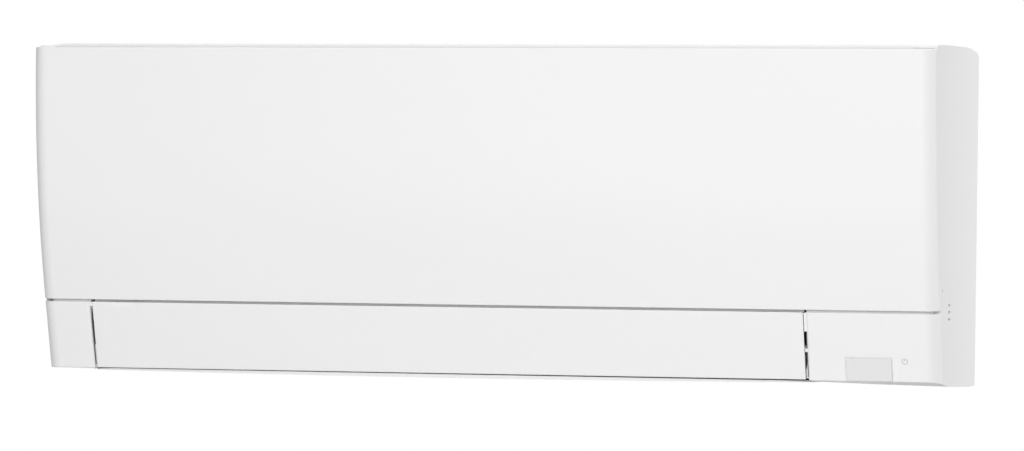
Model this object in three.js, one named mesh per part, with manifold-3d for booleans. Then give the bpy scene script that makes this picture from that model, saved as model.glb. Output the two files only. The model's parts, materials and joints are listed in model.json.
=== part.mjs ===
// Wall-mounted mini split indoor unit, closed, as it hangs at rest.
// Units mm. +X is the viewer's right, +Y goes into the wall, +Z is up.
// The origin is the middle of the wall plate's back face.
// Inside this file a section point is [p, h]: p is the distance out from the wall
// and h is the distance down from the top of the unit.
import * as THREE from "three";
import { mergeVertices } from "three/addons/utils/BufferGeometryUtils.js";
import Module from "manifold-3d";

const wasm = await Module();
wasm.setup();
const { Manifold, Mesh: SolidMesh } = wasm;

// ---------------------------------------------------------------- overall sizes
const WIDTH = 798;            // across the two cheeks
const HEIGHT = 300;           // top of the grille to the lowest edge at the back
const DEPTH = 245;            // wall to the crown of the front panel
const HALF_W = WIDTH / 2;
const HALF_H = HEIGHT / 2;
// section points are drawn on a sheet of this depth and height, and stretch with the unit
const SHEET = { p: 245, h: 300 };
const STRETCH_P = DEPTH / SHEET.p;
const STRETCH_H = HEIGHT / SHEET.h;
const ROUND = Math.min(STRETCH_P, STRETCH_H, 1);  // round works shrink with the tighter way
const GAP = 0.3;              // fit gap between pieces that touch
const WALL = 2.2;             // moulded wall thickness

// front skin: an arc down from the crown, then a straight lean
const CROWN_H = 40.5;
const ARC_R = 705;
const LEAN_H = 222.5;
const EDGE_R = 13;            // rounding of the upright front edges
const SKIN = 2.6;             // front panel and corner cover thickness

// horizontal split line and lower front
const PANEL_TOP = 3.4;
const PANEL_END = 225.0;
const SEAM = 2.7;             // open line under the panel
const FACE_END = 285.6;       // lower edge of the lower front face
const VANE_END = 285.2;
const MOUTH_LEFT = -HALF_W + 44.4;
const MOUTH_RIGHT = HALF_W - 113.8;
const SLIT = 2.4;             // open line at each end of the vane

// front panel hinge
const HINGE_P = 231.4;
const HINGE_H = 5.2;
const HINGE_R = 1.6;
const HINGE_X = HALF_W - 7;

// rear edges of the cheeks
const BACK_TOP = 3;
const BACK_LOW = 18;

// fan
const FAN_P = 108;
const FAN_H = 165;
const FAN_R = 50 * ROUND;
const FAN_X0 = MOUTH_LEFT + 12.6;
const FAN_X1 = MOUTH_RIGHT - 15.2;
const BLADES = 18;
const FAN_RINGS = 4;

// horizontal vane pivot
const VANE_P = 199.3;
const VANE_H = 259.3;

// outlet duct floor, straight part
const FLOOR_A = [95, 245];
const FLOOR_B = [179, 284.9];

const frontOf = (h) => {
  const bend = (v) => ARC_R - Math.sqrt(ARC_R * ARC_R - (v - CROWN_H) ** 2);
  if (h <= LEAN_H) return SHEET.p - bend(h);
  const rise = LEAN_H - CROWN_H;
  const lean = rise / Math.sqrt(ARC_R * ARC_R - rise * rise);
  return SHEET.p - bend(LEAN_H) - lean * (h - LEAN_H);
};
const toY = (p) => -p * STRETCH_P;
const toZ = (h) => HALF_H - h * STRETCH_H;
const range = (n) => Array.from({ length: n }, (_, i) => i);
const mix = (a, b, t) => a + (b - a) * t;
const steps = (a, b, n) => range(n + 1).map((i) => mix(a, b, i / n));

// ---------------------------------------------------------------- solids
const toSolid = (geometry) => {
  const bare = geometry.clone();
  bare.deleteAttribute("normal");
  bare.deleteAttribute("uv");
  const g = mergeVertices(bare, 1e-4);
  return new Manifold(new SolidMesh({
    numProp: 3,
    vertProperties: new Float32Array(g.attributes.position.array),
    triVerts: new Uint32Array(g.index.array),
  }));
};
const add = (...parts) => parts.flat().reduce((a, b) => Manifold.union(a, b));
const cut = (body, ...tools) => tools.flat().reduce((a, b) => Manifold.difference(a, b), body);
const common = (a, b) => Manifold.intersection(a, b);

// drops points that repeat or lie on the straight line between their neighbours
const tidy = (ring) => ring.filter((pt, i) => {
  const a = ring[(i + ring.length - 1) % ring.length];
  const b = ring[(i + 1) % ring.length];
  const side = (pt[0] - a[0]) * (b[1] - pt[1]) - (pt[1] - a[1]) * (b[0] - pt[0]);
  return Math.abs(side) > 1e-5;
});
const shapeOf = (points) => new THREE.Shape(tidy(points).map(([a, b]) => new THREE.Vector2(a, b)));
const raise = (shape, depth) =>
  new THREE.ExtrudeGeometry(shape, { depth, bevelEnabled: false, curveSegments: 12 });

// section [p, h] points carried along X
const alongX = (points, x0, x1) => {
  const g = raise(shapeOf(points.map(([p, h]) => [toY(p), toZ(h)])), x1 - x0);
  const basis = new THREE.Matrix4().makeBasis(
    new THREE.Vector3(0, 1, 0), new THREE.Vector3(0, 0, 1), new THREE.Vector3(1, 0, 0));
  g.applyMatrix4(basis);
  g.translate(x0, 0, 0);
  return toSolid(g);
};
// [x, h] points seen from the front, carried from p0 to p1 away from the wall
const outward = (points, p0, p1) => {
  const g = raise(shapeOf(points.map(([x, h]) => [x, toZ(h)])), toY(p0) - toY(p1));
  const basis = new THREE.Matrix4().makeBasis(
    new THREE.Vector3(1, 0, 0), new THREE.Vector3(0, 0, 1), new THREE.Vector3(0, -1, 0));
  g.applyMatrix4(basis);
  g.translate(0, toY(p0), 0);
  return toSolid(g);
};
const block = (x0, x1, p0, p1, h0, h1) => {
  const g = new THREE.BoxGeometry(x1 - x0, toY(p0) - toY(p1), toZ(h0) - toZ(h1));
  g.translate((x0 + x1) / 2, toY((p0 + p1) / 2), toZ((h0 + h1) / 2));
  return toSolid(g);
};
const rodX = (r, x0, x1, p, h, sides = 16) => {
  const g = new THREE.CylinderGeometry(r, r, x1 - x0, sides);
  g.rotateZ(-Math.PI / 2);
  g.translate((x0 + x1) / 2, toY(p), toZ(h));
  return toSolid(g);
};
// round bar from one [x, p, h] point to another
const rod = (r, from, to, sides = 12) => {
  const a = new THREE.Vector3(from[0], toY(from[1]), toZ(from[2]));
  const b = new THREE.Vector3(to[0], toY(to[1]), toZ(to[2]));
  const g = new THREE.CylinderGeometry(r, r, a.distanceTo(b), sides);
  const dir = b.clone().sub(a).normalize();
  g.applyQuaternion(new THREE.Quaternion().setFromUnitVectors(new THREE.Vector3(0, 1, 0), dir));
  const mid = a.add(b).multiplyScalar(0.5);
  g.translate(mid.x, mid.y, mid.z);
  return toSolid(g);
};
// round tube through [x, p, h] points
const pipe = (r, points, count, sides = 8) => {
  const curve = new THREE.CatmullRomCurve3(
    points.map(([x, p, h]) => new THREE.Vector3(x, toY(p), toZ(h))), false, "centripetal");
  const ring = range(sides).map((i) => {
    const t = (2 * Math.PI * i) / sides;
    return [r * Math.cos(t), r * Math.sin(t)];
  });
  const g = new THREE.ExtrudeGeometry(shapeOf(ring),
    { steps: count, bevelEnabled: false, extrudePath: curve });
  return toSolid(g);
};
const circle = (a, b, r, n) => range(n).map((i) => {
  const t = (2 * Math.PI * i) / n;
  return [a + r * Math.cos(t), b + r * Math.sin(t)];
});
const rect = (a0, b0, a1, b1) => [[a0, b0], [a1, b0], [a1, b1], [a0, b1]];

// a strip of even thickness laid along an open run of points, on its left-hand side
const strip = (run, thick) => {
  const side = run.map((pt, i) => {
    const a = run[Math.max(i - 1, 0)];
    const b = run[Math.min(i + 1, run.length - 1)];
    const len = Math.hypot(b[0] - a[0], b[1] - a[1]);
    const nx = (b[1] - a[1]) / len;
    const ny = -(b[0] - a[0]) / len;
    return [pt[0] + nx * thick, pt[1] + ny * thick];
  });
  return [...run, ...side.reverse()];
};
// front skin points from h0 to h1, set back from the face by a distance
const faceRun = (h0, h1, back, n) => steps(h0, h1, n).map((h) => [frontOf(h) - back, h]);
// plan outline [x, setback] carried down the leaning front
const lofted = (plan, h0, h1, n) => {
  const outline = tidy(plan);
  const stations = steps(h0, h1, n);
  const count = outline.length;
  const pos = [];
  stations.forEach((h) => outline.forEach(([x, e]) => pos.push(x, toY(frontOf(h) - e), toZ(h))));
  const idx = [];
  range(n).forEach((j) => range(count).forEach((i) => {
    const a = j * count + i;
    const b = j * count + ((i + 1) % count);
    idx.push(a, a + count, b, b, a + count, b + count);
  }));
  const flat = outline.map(([x, e]) => new THREE.Vector2(x, e));
  THREE.ShapeUtils.triangulateShape(flat, []).forEach(([a, b, c]) => {
    idx.push(a, b, c);
    idx.push(n * count + a, n * count + c, n * count + b);
  });
  const g = new THREE.BufferGeometry();
  g.setAttribute("position", new THREE.Float32BufferAttribute(pos, 3));
  g.setIndex(idx);
  return toSolid(g);
};

// ---------------------------------------------------------------- finishes
const finish = (color, roughness, metalness = 0) => ({ color, roughness, metalness });
const WHITE_GLOSS = finish(0xf4f4f2, 0.32);
const WHITE_SATIN = finish(0xf1f1ef, 0.45);
const WHITE_INNER = finish(0xe6e6e2, 0.55);
const GREY_INNER = finish(0x6f7378, 0.6);
const BLACK_PLASTIC = finish(0x26282b, 0.55);
const RUBBER = finish(0x1c1c1d, 0.85);
const ALUMINIUM = finish(0xb9bdc1, 0.4, 0.9);
const STEEL = finish(0x9fa3a6, 0.38, 0.95);
const COPPER = finish(0xb5653a, 0.35, 1.0);
const BOARD_GREEN = finish(0x1d5a3a, 0.5);
const FILTER_BLUE = finish(0x8aa4b4, 0.7);
const TINT = finish(0xd9dcde, 0.2);
const FOAM = finish(0xe9e9e6, 0.9);

const unit = new THREE.Group();
unit.name = "mini_split_indoor_unit";
const place = (name, body, look) => {
  const raw = body.getMesh();
  const g = new THREE.BufferGeometry();
  const props = raw.numProp;
  const count = raw.vertProperties.length / props;
  const xyz = new Float32Array(count * 3);
  range(count).forEach((i) => {
    xyz.set(raw.vertProperties.subarray(i * props, i * props + 3), i * 3);
  });
  g.setAttribute("position", new THREE.BufferAttribute(xyz, 3));
  g.setIndex(new THREE.BufferAttribute(new Uint32Array(raw.triVerts), 1));
  g.computeVertexNormals();
  const mesh = new THREE.Mesh(g, new THREE.MeshStandardMaterial(look));
  mesh.name = name;
  unit.add(mesh);
};

const BACK_P = 10;            // back face of the chassis

// ---------------------------------------------------------------- wall plate
const PLATE_X = HALF_W - 39;
const PLATE_T = 1.2;
const HOOK_X = [60 - PLATE_X, 0, PLATE_X - 60];
const HOOK_TOP = 26.3;        // shelf that the chassis hangs on
const plateBody = () => {
  const windows = [[-11, -6], [-5, -1.5], [1.5, 5], [6, 11]].map(([a, b]) =>
    block((PLATE_X * a) / 12, (PLATE_X * b) / 12, -1, PLATE_T + 1, 110, 200));
  const screwHoles = [-8, -3, 3, 8].map((a) =>
    outward(circle((PLATE_X * a) / 12, 70, 3, 12), -1, 3));
  const sheet = cut(block(-PLATE_X, PLATE_X, 0, PLATE_T, 24, 236), windows, screwHoles);
  const rib = alongX([[0.6, 88], [5.4, 92], [5.4, 98], [0.6, 102]], -PLATE_X + 20, PLATE_X - 20);
  const reach = BACK_P + WALL + GAP;
  const hooks = HOOK_X.map((x) => alongX(
    [[0.4, HOOK_TOP + 2.4], [reach + 1.8, HOOK_TOP + 2.4], [reach + 1.8, HOOK_TOP - 8],
      [reach, HOOK_TOP - 8], [reach, HOOK_TOP], [0.4, HOOK_TOP]], x - 22, x + 22));
  const clips = [HOOK_X[0], HOOK_X[2]].map((x) => alongX(
    [[0.4, 226], [8.8, 226], [8.8, 230], [0.4, 234]], x - 14, x + 14));
  return add(sheet, rib, hooks, clips);
};

// ---------------------------------------------------------------- rear chassis
const CHASSIS_X = HALF_W - WALL - 1.4;
const DUCT_X0 = MOUTH_LEFT - GAP - 0.2;
const DUCT_X1 = MOUTH_RIGHT + GAP + 0.2;
const RECESS_TOP = 240;       // pipe recess along the lower back
const RECESS_P = 44;
const TROUGH_H = 156;
const NOSE = [51, 141];
const scrollRun = [NOSE, [50.2, 152], [50.4, 168], [52.5, 184], [57, 200], [64.5, 215],
  [74.5, 228], FLOOR_A, FLOOR_B];
const MOTOR_X0 = MOUTH_RIGHT + 8.8;
const MOTOR_X1 = MOTOR_X0 + 56;
const MOTOR_R = 42 * ROUND;
const MOTOR_RING = MOTOR_R + 5;
const CRADLES = [[MOTOR_X0 + 5, MOTOR_X0 + 9], [MOTOR_X1 - 9, MOTOR_X1 - 5]];
const sideWall = (x0, x1) => {
  const over = steps(200, -20, 16).map((deg) => {
    const t = (deg * Math.PI) / 180;
    return [FAN_P + (FAN_R + 7) * Math.cos(t), FAN_H - (FAN_R + 7) * Math.sin(t)];
  });
  const under = [...scrollRun].reverse().map(([p, h]) => [p - 0.8, h + 0.8]);
  const outline = [...over, [166, 196], [201, 217.5], [178, 246], [172, 262], [176, 283.8],
    ...under.slice(1)];
  const wall = alongX(outline, x0, x1);
  return cut(wall, rodX(14, x0 - 1, x1 + 1, FAN_P, FAN_H, 24));
};
const chassisBody = () => {
  const back = alongX(rect(BACK_P, 14, BACK_P + WALL, RECESS_TOP + 1), -CHASSIS_X, CHASSIS_X);
  const ledge = block(-CHASSIS_X, CHASSIS_X, BACK_P, RECESS_P + WALL, RECESS_TOP,
    RECESS_TOP + WALL);
  const recess = block(-CHASSIS_X, CHASSIS_X, RECESS_P, RECESS_P + WALL, RECESS_TOP, 293);
  const scroll = alongX(strip(scrollRun, -WALL), DUCT_X0 - WALL, DUCT_X1 + WALL);
  const trough = alongX(rect(BACK_P + 0.5, TROUGH_H, 49.6, TROUGH_H + WALL),
    DUCT_X0 - 22, DUCT_X1 + WALL);
  const troughEnd = alongX([[BACK_P + 0.5, 146], [40, 146], [40, TROUGH_H + 0.5],
    [BACK_P + 0.5, TROUGH_H + 0.5]], DUCT_X0 - 22, DUCT_X0 - 22 + WALL);
  const walls = [sideWall(DUCT_X0 - WALL, DUCT_X0), sideWall(DUCT_X1, DUCT_X1 + WALL)];
  const ribs = steps(MOUTH_LEFT + 104.6, MOUTH_RIGHT - 107.2, 4).map((x) => alongX(
    [[BACK_P + 1, 170], [51, 170], [55, 186], [59.5, 200], [66.5, 214], [76, 226], [96, 243],
      [96, 250], [88, 262], [RECESS_P + 1, 272], [RECESS_P + 1, RECESS_TOP + 1],
      [BACK_P + 1, RECESS_TOP + 1]], x, x + WALL));
  const cradles = CRADLES.map(([x0, x1]) => {
    const arm = block(x0, x1, BACK_P + 1, FAN_P - 4, FAN_H - 56, FAN_H + 56);
    const way = block(x0 - 1, x1 + 1, 21, 50, 100, 152);
    return cut(arm, rodX(MOTOR_RING + GAP, x0 - 1, x1 + 1, FAN_P, FAN_H, 28), way);
  });
  const hookSlots = HOOK_X.map((x) => block(x - 26, x + 26, 0, BACK_P + WALL + 1,
    HOOK_TOP - GAP, HOOK_TOP + 9));
  const boxArms = [50, 150].map((h) => block(EBOX.x1 + GAP, EBOX.x1 + GAP + WALL, BACK_P + 1,
    EBOX.p1 - 14, h, h + 16));
  const body = add(back, ledge, recess, scroll, trough, troughEnd, walls, ribs, cradles, boxArms);
  return cut(body, hookSlots);
};

// ---------------------------------------------------------------- front casing
const topRun = [[BACK_TOP, 14], [BACK_TOP + 1.2, 10.5], [BACK_TOP + 5.6, 8], [14, 6.6], [24, 5.5],
  [47, 3.2], [70, 2.1], [114, 1.2], [168, 0.3], [221, 0], [229.4, 0.3], [230.3, 1.4]];
const BOTTOM_FRONT = [199, 289.8];
const CHEEK_FRONT = EDGE_R + 0.5;
const FRAME_BACK = 15.5;      // front frame, measured back from the face
const FRAME_T = 2.0;
const FRAME_END = 219.5;
const FILTER_BACK = 18.6;     // front of the air filter, measured from the face
const FILTER_T = 1.6;
const GRILLE_X0 = -HALF_W + 49;
const GRILLE_X1 = HALF_W - 137;
const GRILLE_SLOTS = 16;
const GRILLE_ROWS = [[58, 104], [110, 156], [162, 206]];
const FRAME_X = [-HALF_W + 53, -46, -38, HALF_W - 137];  // the two filter windows
const casingOutline = () => [...topRun, ...faceRun(6, 284, CHEEK_FRONT, 10),
  [frontOf(288.9) - CHEEK_FRONT, 288.9], [BACK_LOW + 2, SHEET.h], [BACK_LOW, SHEET.h - 2]];
const cheek = (x0, x1) => alongX(casingOutline(), x0, x1);
const topSkin = () => {
  const run = topRun.slice(1, -1);
  const skin = alongX(strip(run, -WALL), -HALF_W + 0.5, HALF_W - 0.5);
  const pitch = (GRILLE_X1 - GRILLE_X0) / GRILLE_SLOTS;
  const slots = GRILLE_ROWS.flatMap(([p0, p1]) => range(GRILLE_SLOTS).map((i) => {
    const x = GRILLE_X0 + pitch * i;
    return block(x + 2.2, x + pitch - 2.2, p0, p1, -2, 8);
  }));
  return cut(skin, slots);
};
const frameBody = () => {
  const whole = alongX(strip(faceRun(9.5, FRAME_END, FRAME_BACK, 6), FRAME_T),
    -HALF_W + 0.5, HALF_W - 0.5);
  const windows = [[FRAME_X[0], FRAME_X[1]], [FRAME_X[2], FRAME_X[3]]].flatMap(([x0, x1]) =>
    range(4).flatMap((i) => range(2).map((j) => {
      const w = (x1 - x0) / 4;
      const top = 22 + j * 86;
      return block(x0 + w * i + 2, x0 + w * (i + 1) - 2, 190, 240, top, top + 82);
    })));
  const web = alongX(rect(227, 1.4, 229.2, 11.4), -HINGE_X + 14, HINGE_X - 14);
  const rails = [[FRAME_X[0] - 3, FRAME_X[0] - 0.5], [FRAME_X[1] + 1, FRAME_X[2] - 1],
    [FRAME_X[3] + 0.5, FRAME_X[3] + 3]].map(([x0, x1]) =>
    alongX(strip(faceRun(44, 192, FILTER_BACK - GAP, 4), FILTER_BACK - FRAME_BACK), x0, x1));
  return add(cut(whole, windows), web, rails);
};
const SENSOR_P = 161;
const SENSOR_H = [222.1, 228.2, 234.3];
const casingBody = () => {
  const cheeks = [cheek(-HALF_W, -HALF_W + WALL), cheek(HALF_W - WALL, HALF_W)];
  const floorRun = [[BACK_LOW + 2, SHEET.h], BOTTOM_FRONT];
  const floor = alongX(strip(floorRun, WALL), MOUTH_LEFT + 0.4, MOUTH_RIGHT - 0.4);
  const lip = alongX([BOTTOM_FRONT, [BOTTOM_FRONT[0] + 1, 287.4], [BOTTOM_FRONT[0] - 1, 286.3],
    [182.5, 286.9], [182.5, 290]], MOUTH_LEFT + 0.4, MOUTH_RIGHT - 0.4);
  const cheekLow = [frontOf(288.9) - CHEEK_FRONT, 288.9];
  const rear = BACK_LOW + 2;
  const endLine = (p) => [p, mix(SHEET.h, cheekLow[1], (p - rear) / (cheekLow[0] - rear))];
  const endFloor = (p, x0, x1) => alongX(strip([[BACK_LOW + 2, SHEET.h], endLine(p)], WALL), x0, x1);
  const endFloors = [endFloor(189.6, -HALF_W + 0.5, MOUTH_LEFT - WALL - 0.6),
    endFloor(174, -HALF_W + 0.5, MOUTH_LEFT + 0.6), endFloor(174, MOUTH_RIGHT - 0.6, HALF_W - 0.5),
    endFloor(189.6, MOUTH_RIGHT + WALL + 0.6, HALF_W - 0.5)];
  const fronts = [[-HALF_W + 0.5, MOUTH_LEFT - 8], [MOUTH_RIGHT + 27, HALF_W - 0.5]].map(
    ([x0, x1]) => alongX(strip(faceRun(FRAME_END - 1, 285, FRAME_BACK, 3), FRAME_T), x0, x1));
  const rearSill = alongX(strip([[BACK_LOW + 0.2, SHEET.h - 2], [BACK_LOW - 0.3, 292]], WALL),
    -HALF_W + 0.5, HALF_W - 0.5);
  const vents = SENSOR_H.map((h) => block(HALF_W - 5, HALF_W + 1, SENSOR_P - 5, SENSOR_P + 5,
    h - 1.1, h + 1.1));
  const pin = block(HALF_W - 5, HALF_W + 1, 195.6, 198.4, 207, 209.6);
  const sockets = [-1, 1].flatMap((s) => [rodX(HINGE_R + GAP, -3, 3, HINGE_P, HINGE_H, 16)
    .translate([s * (HINGE_X + 3), 0, 0])]);
  const whole = add(topSkin(), frameBody(), cheeks, floor, lip, endFloors, fronts, rearSill);
  return cut(whole, vents, pin, sockets);
};

// ---------------------------------------------------------------- front panel
const arcPlan = (sx, inset) => steps(0, 90, 5).map((deg) => {
  const t = (deg * Math.PI) / 180;
  const r = EDGE_R - inset;
  const edge = HALF_W - EDGE_R;
  return [sx * (edge + r * Math.sin(t)), EDGE_R - r * Math.cos(t)];
});
const panelBody = () => {
  const outer = [...arcPlan(-1, 0).reverse(), ...arcPlan(1, 0)];
  const inner = [...arcPlan(-1, SKIN).reverse(), ...arcPlan(1, SKIN)].reverse();
  const shell = lofted([...outer, ...inner], PANEL_TOP, PANEL_END, 10);
  const filled = lofted([...arcPlan(-1, 0.4).reverse(), ...arcPlan(1, 0.4)],
    PANEL_TOP, PANEL_TOP + SKIN, 1);
  const foot = lofted([...arcPlan(-1, 0.4).reverse(), ...arcPlan(1, 0.4)].map(
    ([x, e]) => [x, Math.min(e, 4.6)]), PANEL_END - SKIN, PANEL_END, 1);
  const ribs = [-3, -1, 1, 3].map((t) => (t * (HALF_W - 119)) / 3).map((x) => alongX(
    [...faceRun(PANEL_TOP + 1, PANEL_END - 1, 1, 10),
      ...faceRun(PANEL_TOP + 1, PANEL_END - 1, 6.5, 10).reverse()], x, x + 1.8));
  const arms = [-1, 1].map((s) => {
    const x = s * (HINGE_X - 8);
    const arm = alongX([[HINGE_P - 2.4, HINGE_H - 1.6], [HINGE_P + 5, HINGE_H - 1.2],
      [HINGE_P + 12.5, PANEL_TOP + 1.5], [HINGE_P + 12, PANEL_TOP + 9],
      [HINGE_P - 1, HINGE_H + 3], [HINGE_P - 2.6, HINGE_H + 1.4]], x - 1.4, x + 1.4);
    const pin = rodX(HINGE_R, Math.min(x, s * HINGE_X), Math.max(x, s * HINGE_X),
      HINGE_P, HINGE_H, 16);
    return add(arm, pin);
  });
  const turnRoom = block(-HALF_W - 1, HALF_W + 1, HINGE_P - 8, HINGE_P + 2.2, 0, HINGE_H + 0.4);
  return add(cut(add(shell, filled, foot, ribs), turnRoom), arms);
};

// ---------------------------------------------------------------- lower corners
const COVER_TOP = PANEL_END + 1.2;
const COVER_BACK = 22;        // depth of the mouth's side wall behind the face
const UNDER_FRONT = [frontOf(FACE_END) + 0.2, 285.8];
const UNDER_BACK = [frontOf(FACE_END) - EDGE_R - 0.3, 288.9];
const WINDOW = [HALF_W - 80.5, HALF_W - 41.5, 265.5, 284.6];
const BOARD_E = 8.4;
const coverPlan = (sx, inner) => {
  const side = [[HALF_W, EDGE_R], ...arcPlan(1, 0).reverse(), [inner, 0], [inner, COVER_BACK],
    [inner + WALL, COVER_BACK], [inner + WALL, SKIN], ...arcPlan(1, SKIN)].slice(1);
  const turned = side.map(([x, e]) => [sx * x, e]);
  return sx > 0 ? [...turned].reverse() : turned;
};
const below = () => alongX([UNDER_FRONT, [UNDER_FRONT[0] + 20, UNDER_FRONT[1] - 4.4],
  [UNDER_FRONT[0] + 20, 310], [160, 310], [160, 295.6], UNDER_BACK], -HALF_W - 1, HALF_W + 1);
const coverBody = (sx) => {
  const inner = sx > 0 ? MOUTH_RIGHT : -MOUTH_LEFT;
  const shell = lofted(coverPlan(sx, inner), COVER_TOP, 292, 4);
  const [xa, xb] = sx > 0 ? [inner, HALF_W - 1] : [-HALF_W + 1, -inner];
  const slope = [(UNDER_BACK[0] - UNDER_FRONT[0]), (UNDER_BACK[1] - UNDER_FRONT[1])];
  const floor = alongX([[UNDER_FRONT[0] - 0.8, UNDER_FRONT[1] - 3], UNDER_FRONT, UNDER_BACK,
    [UNDER_FRONT[0] + slope[0], UNDER_FRONT[1] + slope[1] - 2.4]], xa, xb);
  const plan = sx > 0 ? [[inner, 0], ...arcPlan(1, 0), [inner, EDGE_R]]
    : [[-inner, EDGE_R], ...arcPlan(-1, 0).reverse(), [-inner, 0]];
  const trimmed = common(floor, lofted(plan, 280, 292, 2));
  const pivot = rodX(6 + GAP, sx * inner - 4, sx * inner + 4, VANE_P, VANE_H, 24);
  return cut(add(shell, trimmed), below(), pivot);
};
const rightCoverBody = () => {
  const [x0, x1, h0, h1] = WINDOW;
  const hole = block(x0, x1, 190, 230, h0, h1);
  const posts = [x0 - 4, x1 + 4].flatMap((x) => [262].map((h) =>
    lofted(rectPlan(x - 1.5, SKIN - 0.5, x + 1.5, BOARD_E - GAP), h - 1.5, h + 1.5, 1)));
  return add(cut(coverBody(1), hole), posts);
};
const rectPlan = (x0, e0, x1, e1) => [[x0, e0], [x1, e0], [x1, e1], [x0, e1]];
const windowBody = () => {
  const [x0, x1, h0, h1] = WINDOW;
  const pane = lofted(rectPlan(x0 + GAP, 0.15, x1 - GAP, SKIN + 1), h0 + GAP, h1 - GAP, 2);
  const flange = lofted(rectPlan(x0 - 2, SKIN + GAP, x1 + 2, SKIN + 1.6), h0 - 1.6, h1 - 2.6, 2);
  return add(pane, flange);
};
const displayBoardBody = () => {
  const [x0, x1, h0] = WINDOW;
  const board = lofted(rectPlan(x0 - 8, BOARD_E, x1 + 8, BOARD_E + 1.6), h0 - 6, 282, 1);
  const lamps = [x0 + 8, (x0 + x1) / 2, x1 - 8].map((x) =>
    lofted(rectPlan(x - 2.2, BOARD_E - 2.6, x + 2.2, BOARD_E + 0.4), 272, 275.4, 1));
  const receiver = lofted(rectPlan(x1 - 3.5, BOARD_E - 3.2, x1 + 2.5, BOARD_E + 0.4), 277, 281, 1);
  const plug = lofted(rectPlan(x0 - 6, BOARD_E + 1.2, x0 + 4, BOARD_E + 4.4), 268, 275, 1);
  return add(board, lamps, receiver, plug);
};

// ---------------------------------------------------------------- horizontal vane
const VANE_X0 = MOUTH_LEFT + SLIT;
const VANE_X1 = MOUTH_RIGHT - SLIT;
const VANE_T = 2.2;
const PIN_R = 3;
const vaneBody = () => {
  const skin = lofted(rectPlan(VANE_X0, 0, VANE_X1, VANE_T), PANEL_END + SEAM, VANE_END, 4);
  const foot = alongX([[frontOf(283) - 1, 283], [frontOf(VANE_END) - 0.6, VANE_END],
    [VANE_P - 0.6, VANE_END], [VANE_P - 0.6, 283.2]], VANE_X0, VANE_X1);
  const arm = (x0, x1) => alongX([...faceRun(240, 280, 1, 2), [VANE_P - 3.5, VANE_H + 4],
    [VANE_P - 4.4, VANE_H], [VANE_P - 3.5, VANE_H - 4]], x0, x1);
  const mids = [0.25, 0.5, 0.75].map((t) => mix(VANE_X0, VANE_X1, t));
  const arms = [arm(VANE_X0, VANE_X0 + 2.4), arm(VANE_X1 - 2.4, VANE_X1),
    ...mids.map((x) => arm(x - 1, x + 1))];
  const pins = [rodX(PIN_R, MOUTH_LEFT - 5, VANE_X0 + 1, VANE_P, VANE_H),
    rodX(PIN_R, VANE_X1 - 1, MOUTH_RIGHT + 9, VANE_P, VANE_H)];
  return add(skin, foot, arms, pins);
};
const bushBody = () => {
  const sleeve = rodX(6, MOUTH_LEFT - WALL - 2, MOUTH_LEFT + 0.2, VANE_P, VANE_H);
  const collar = rodX(8.5, MOUTH_LEFT - WALL - 2.4, MOUTH_LEFT - WALL - GAP, VANE_P, VANE_H);
  const hole = rodX(PIN_R + GAP, MOUTH_LEFT - 9, MOUTH_LEFT + 2, VANE_P, VANE_H);
  return cut(add(sleeve, collar), hole);
};
const STEPPER = [190.5, 262];
const vaneMotorBody = () => {
  const x0 = MOUTH_RIGHT + WALL + GAP;
  const can = rodX(14, x0 + 1.8, x0 + 20, STEPPER[0], STEPPER[1], 24);
  const nose = rodX(5.7, x0 - WALL, x0 + 3, VANE_P, VANE_H);
  const collar = rodX(8.5, x0, x0 + 2.4, VANE_P, VANE_H);
  const ear = alongX(rect(STEPPER[0] - 3.4, STEPPER[1] - 20, STEPPER[0] + 3.4, STEPPER[1] + 20),
    x0 + 1.8, x0 + 2.8);
  const plug = block(x0 + 4, x0 + 16, STEPPER[0] - 18, STEPPER[0] - 8, STEPPER[1] - 6,
    STEPPER[1] + 6);
  const bore = rodX(PIN_R + GAP, x0 - 5, x0 + 8, VANE_P, VANE_H);
  return cut(add(can, nose, collar, ear, plug), bore);
};

// ---------------------------------------------------------------- upright louvers
const floorU = (() => {
  const d = [FLOOR_B[0] - FLOOR_A[0], FLOOR_B[1] - FLOOR_A[1]];
  const len = Math.hypot(d[0], d[1]);
  return [d[0] / len, d[1] / len];
})();
const LOUVER_P = 140;
const louverFoot = [LOUVER_P, mix(FLOOR_A[1], FLOOR_B[1],
  (LOUVER_P - FLOOR_A[0]) / (FLOOR_B[0] - FLOOR_A[0]))];
// s runs with the air along the duct floor, n stands square off the floor
const offFloor = (s, n) => [louverFoot[0] + s * floorU[0] + n * floorU[1],
  louverFoot[1] + s * floorU[1] - n * floorU[0]];
const LOUVERS = 6;
const LOUVER_PITCH = (MOUTH_RIGHT - MOUTH_LEFT) / (2 * LOUVERS + 0.18);
const LOUVER_MID = (MOUTH_LEFT + MOUTH_RIGHT) / 2;
const louverX = (side, i) => LOUVER_MID + side * LOUVER_PITCH * (i + 0.5);
const LINK_S = -23;
const standing = (r, x, s, n0, n1, sides = 8) =>
  rod(r, [x, ...offFloor(s, n0)], [x, ...offFloor(s, n1)], sides);
const patch = (ring, x0, x1) => alongX(ring.map(([s, n]) => offFloor(s, n)), x0, x1);
const louverBody = (x) => {
  const blade = patch([[-17, 3.4], [19.2, 3.4], [9, 25], [-0.6, 43.5], [-12, 43.5], [-17, 38]],
    x - 0.75, x + 0.75);
  const foot = standing(3.2, x, 0, 2.7, 4.6);
  const pin = standing(1.5, x, 0, 0.5, 3.5);
  const tab = patch([[LINK_S - 3, 3.4], [-16.5, 3.4], [-16.5, 5.6], [LINK_S - 3, 5.6]],
    x - 2, x + 2);
  const peg = standing(1.3, x, LINK_S, 5.2, 10.4, 12);
  return add(blade, foot, pin, tab, peg);
};
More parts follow.
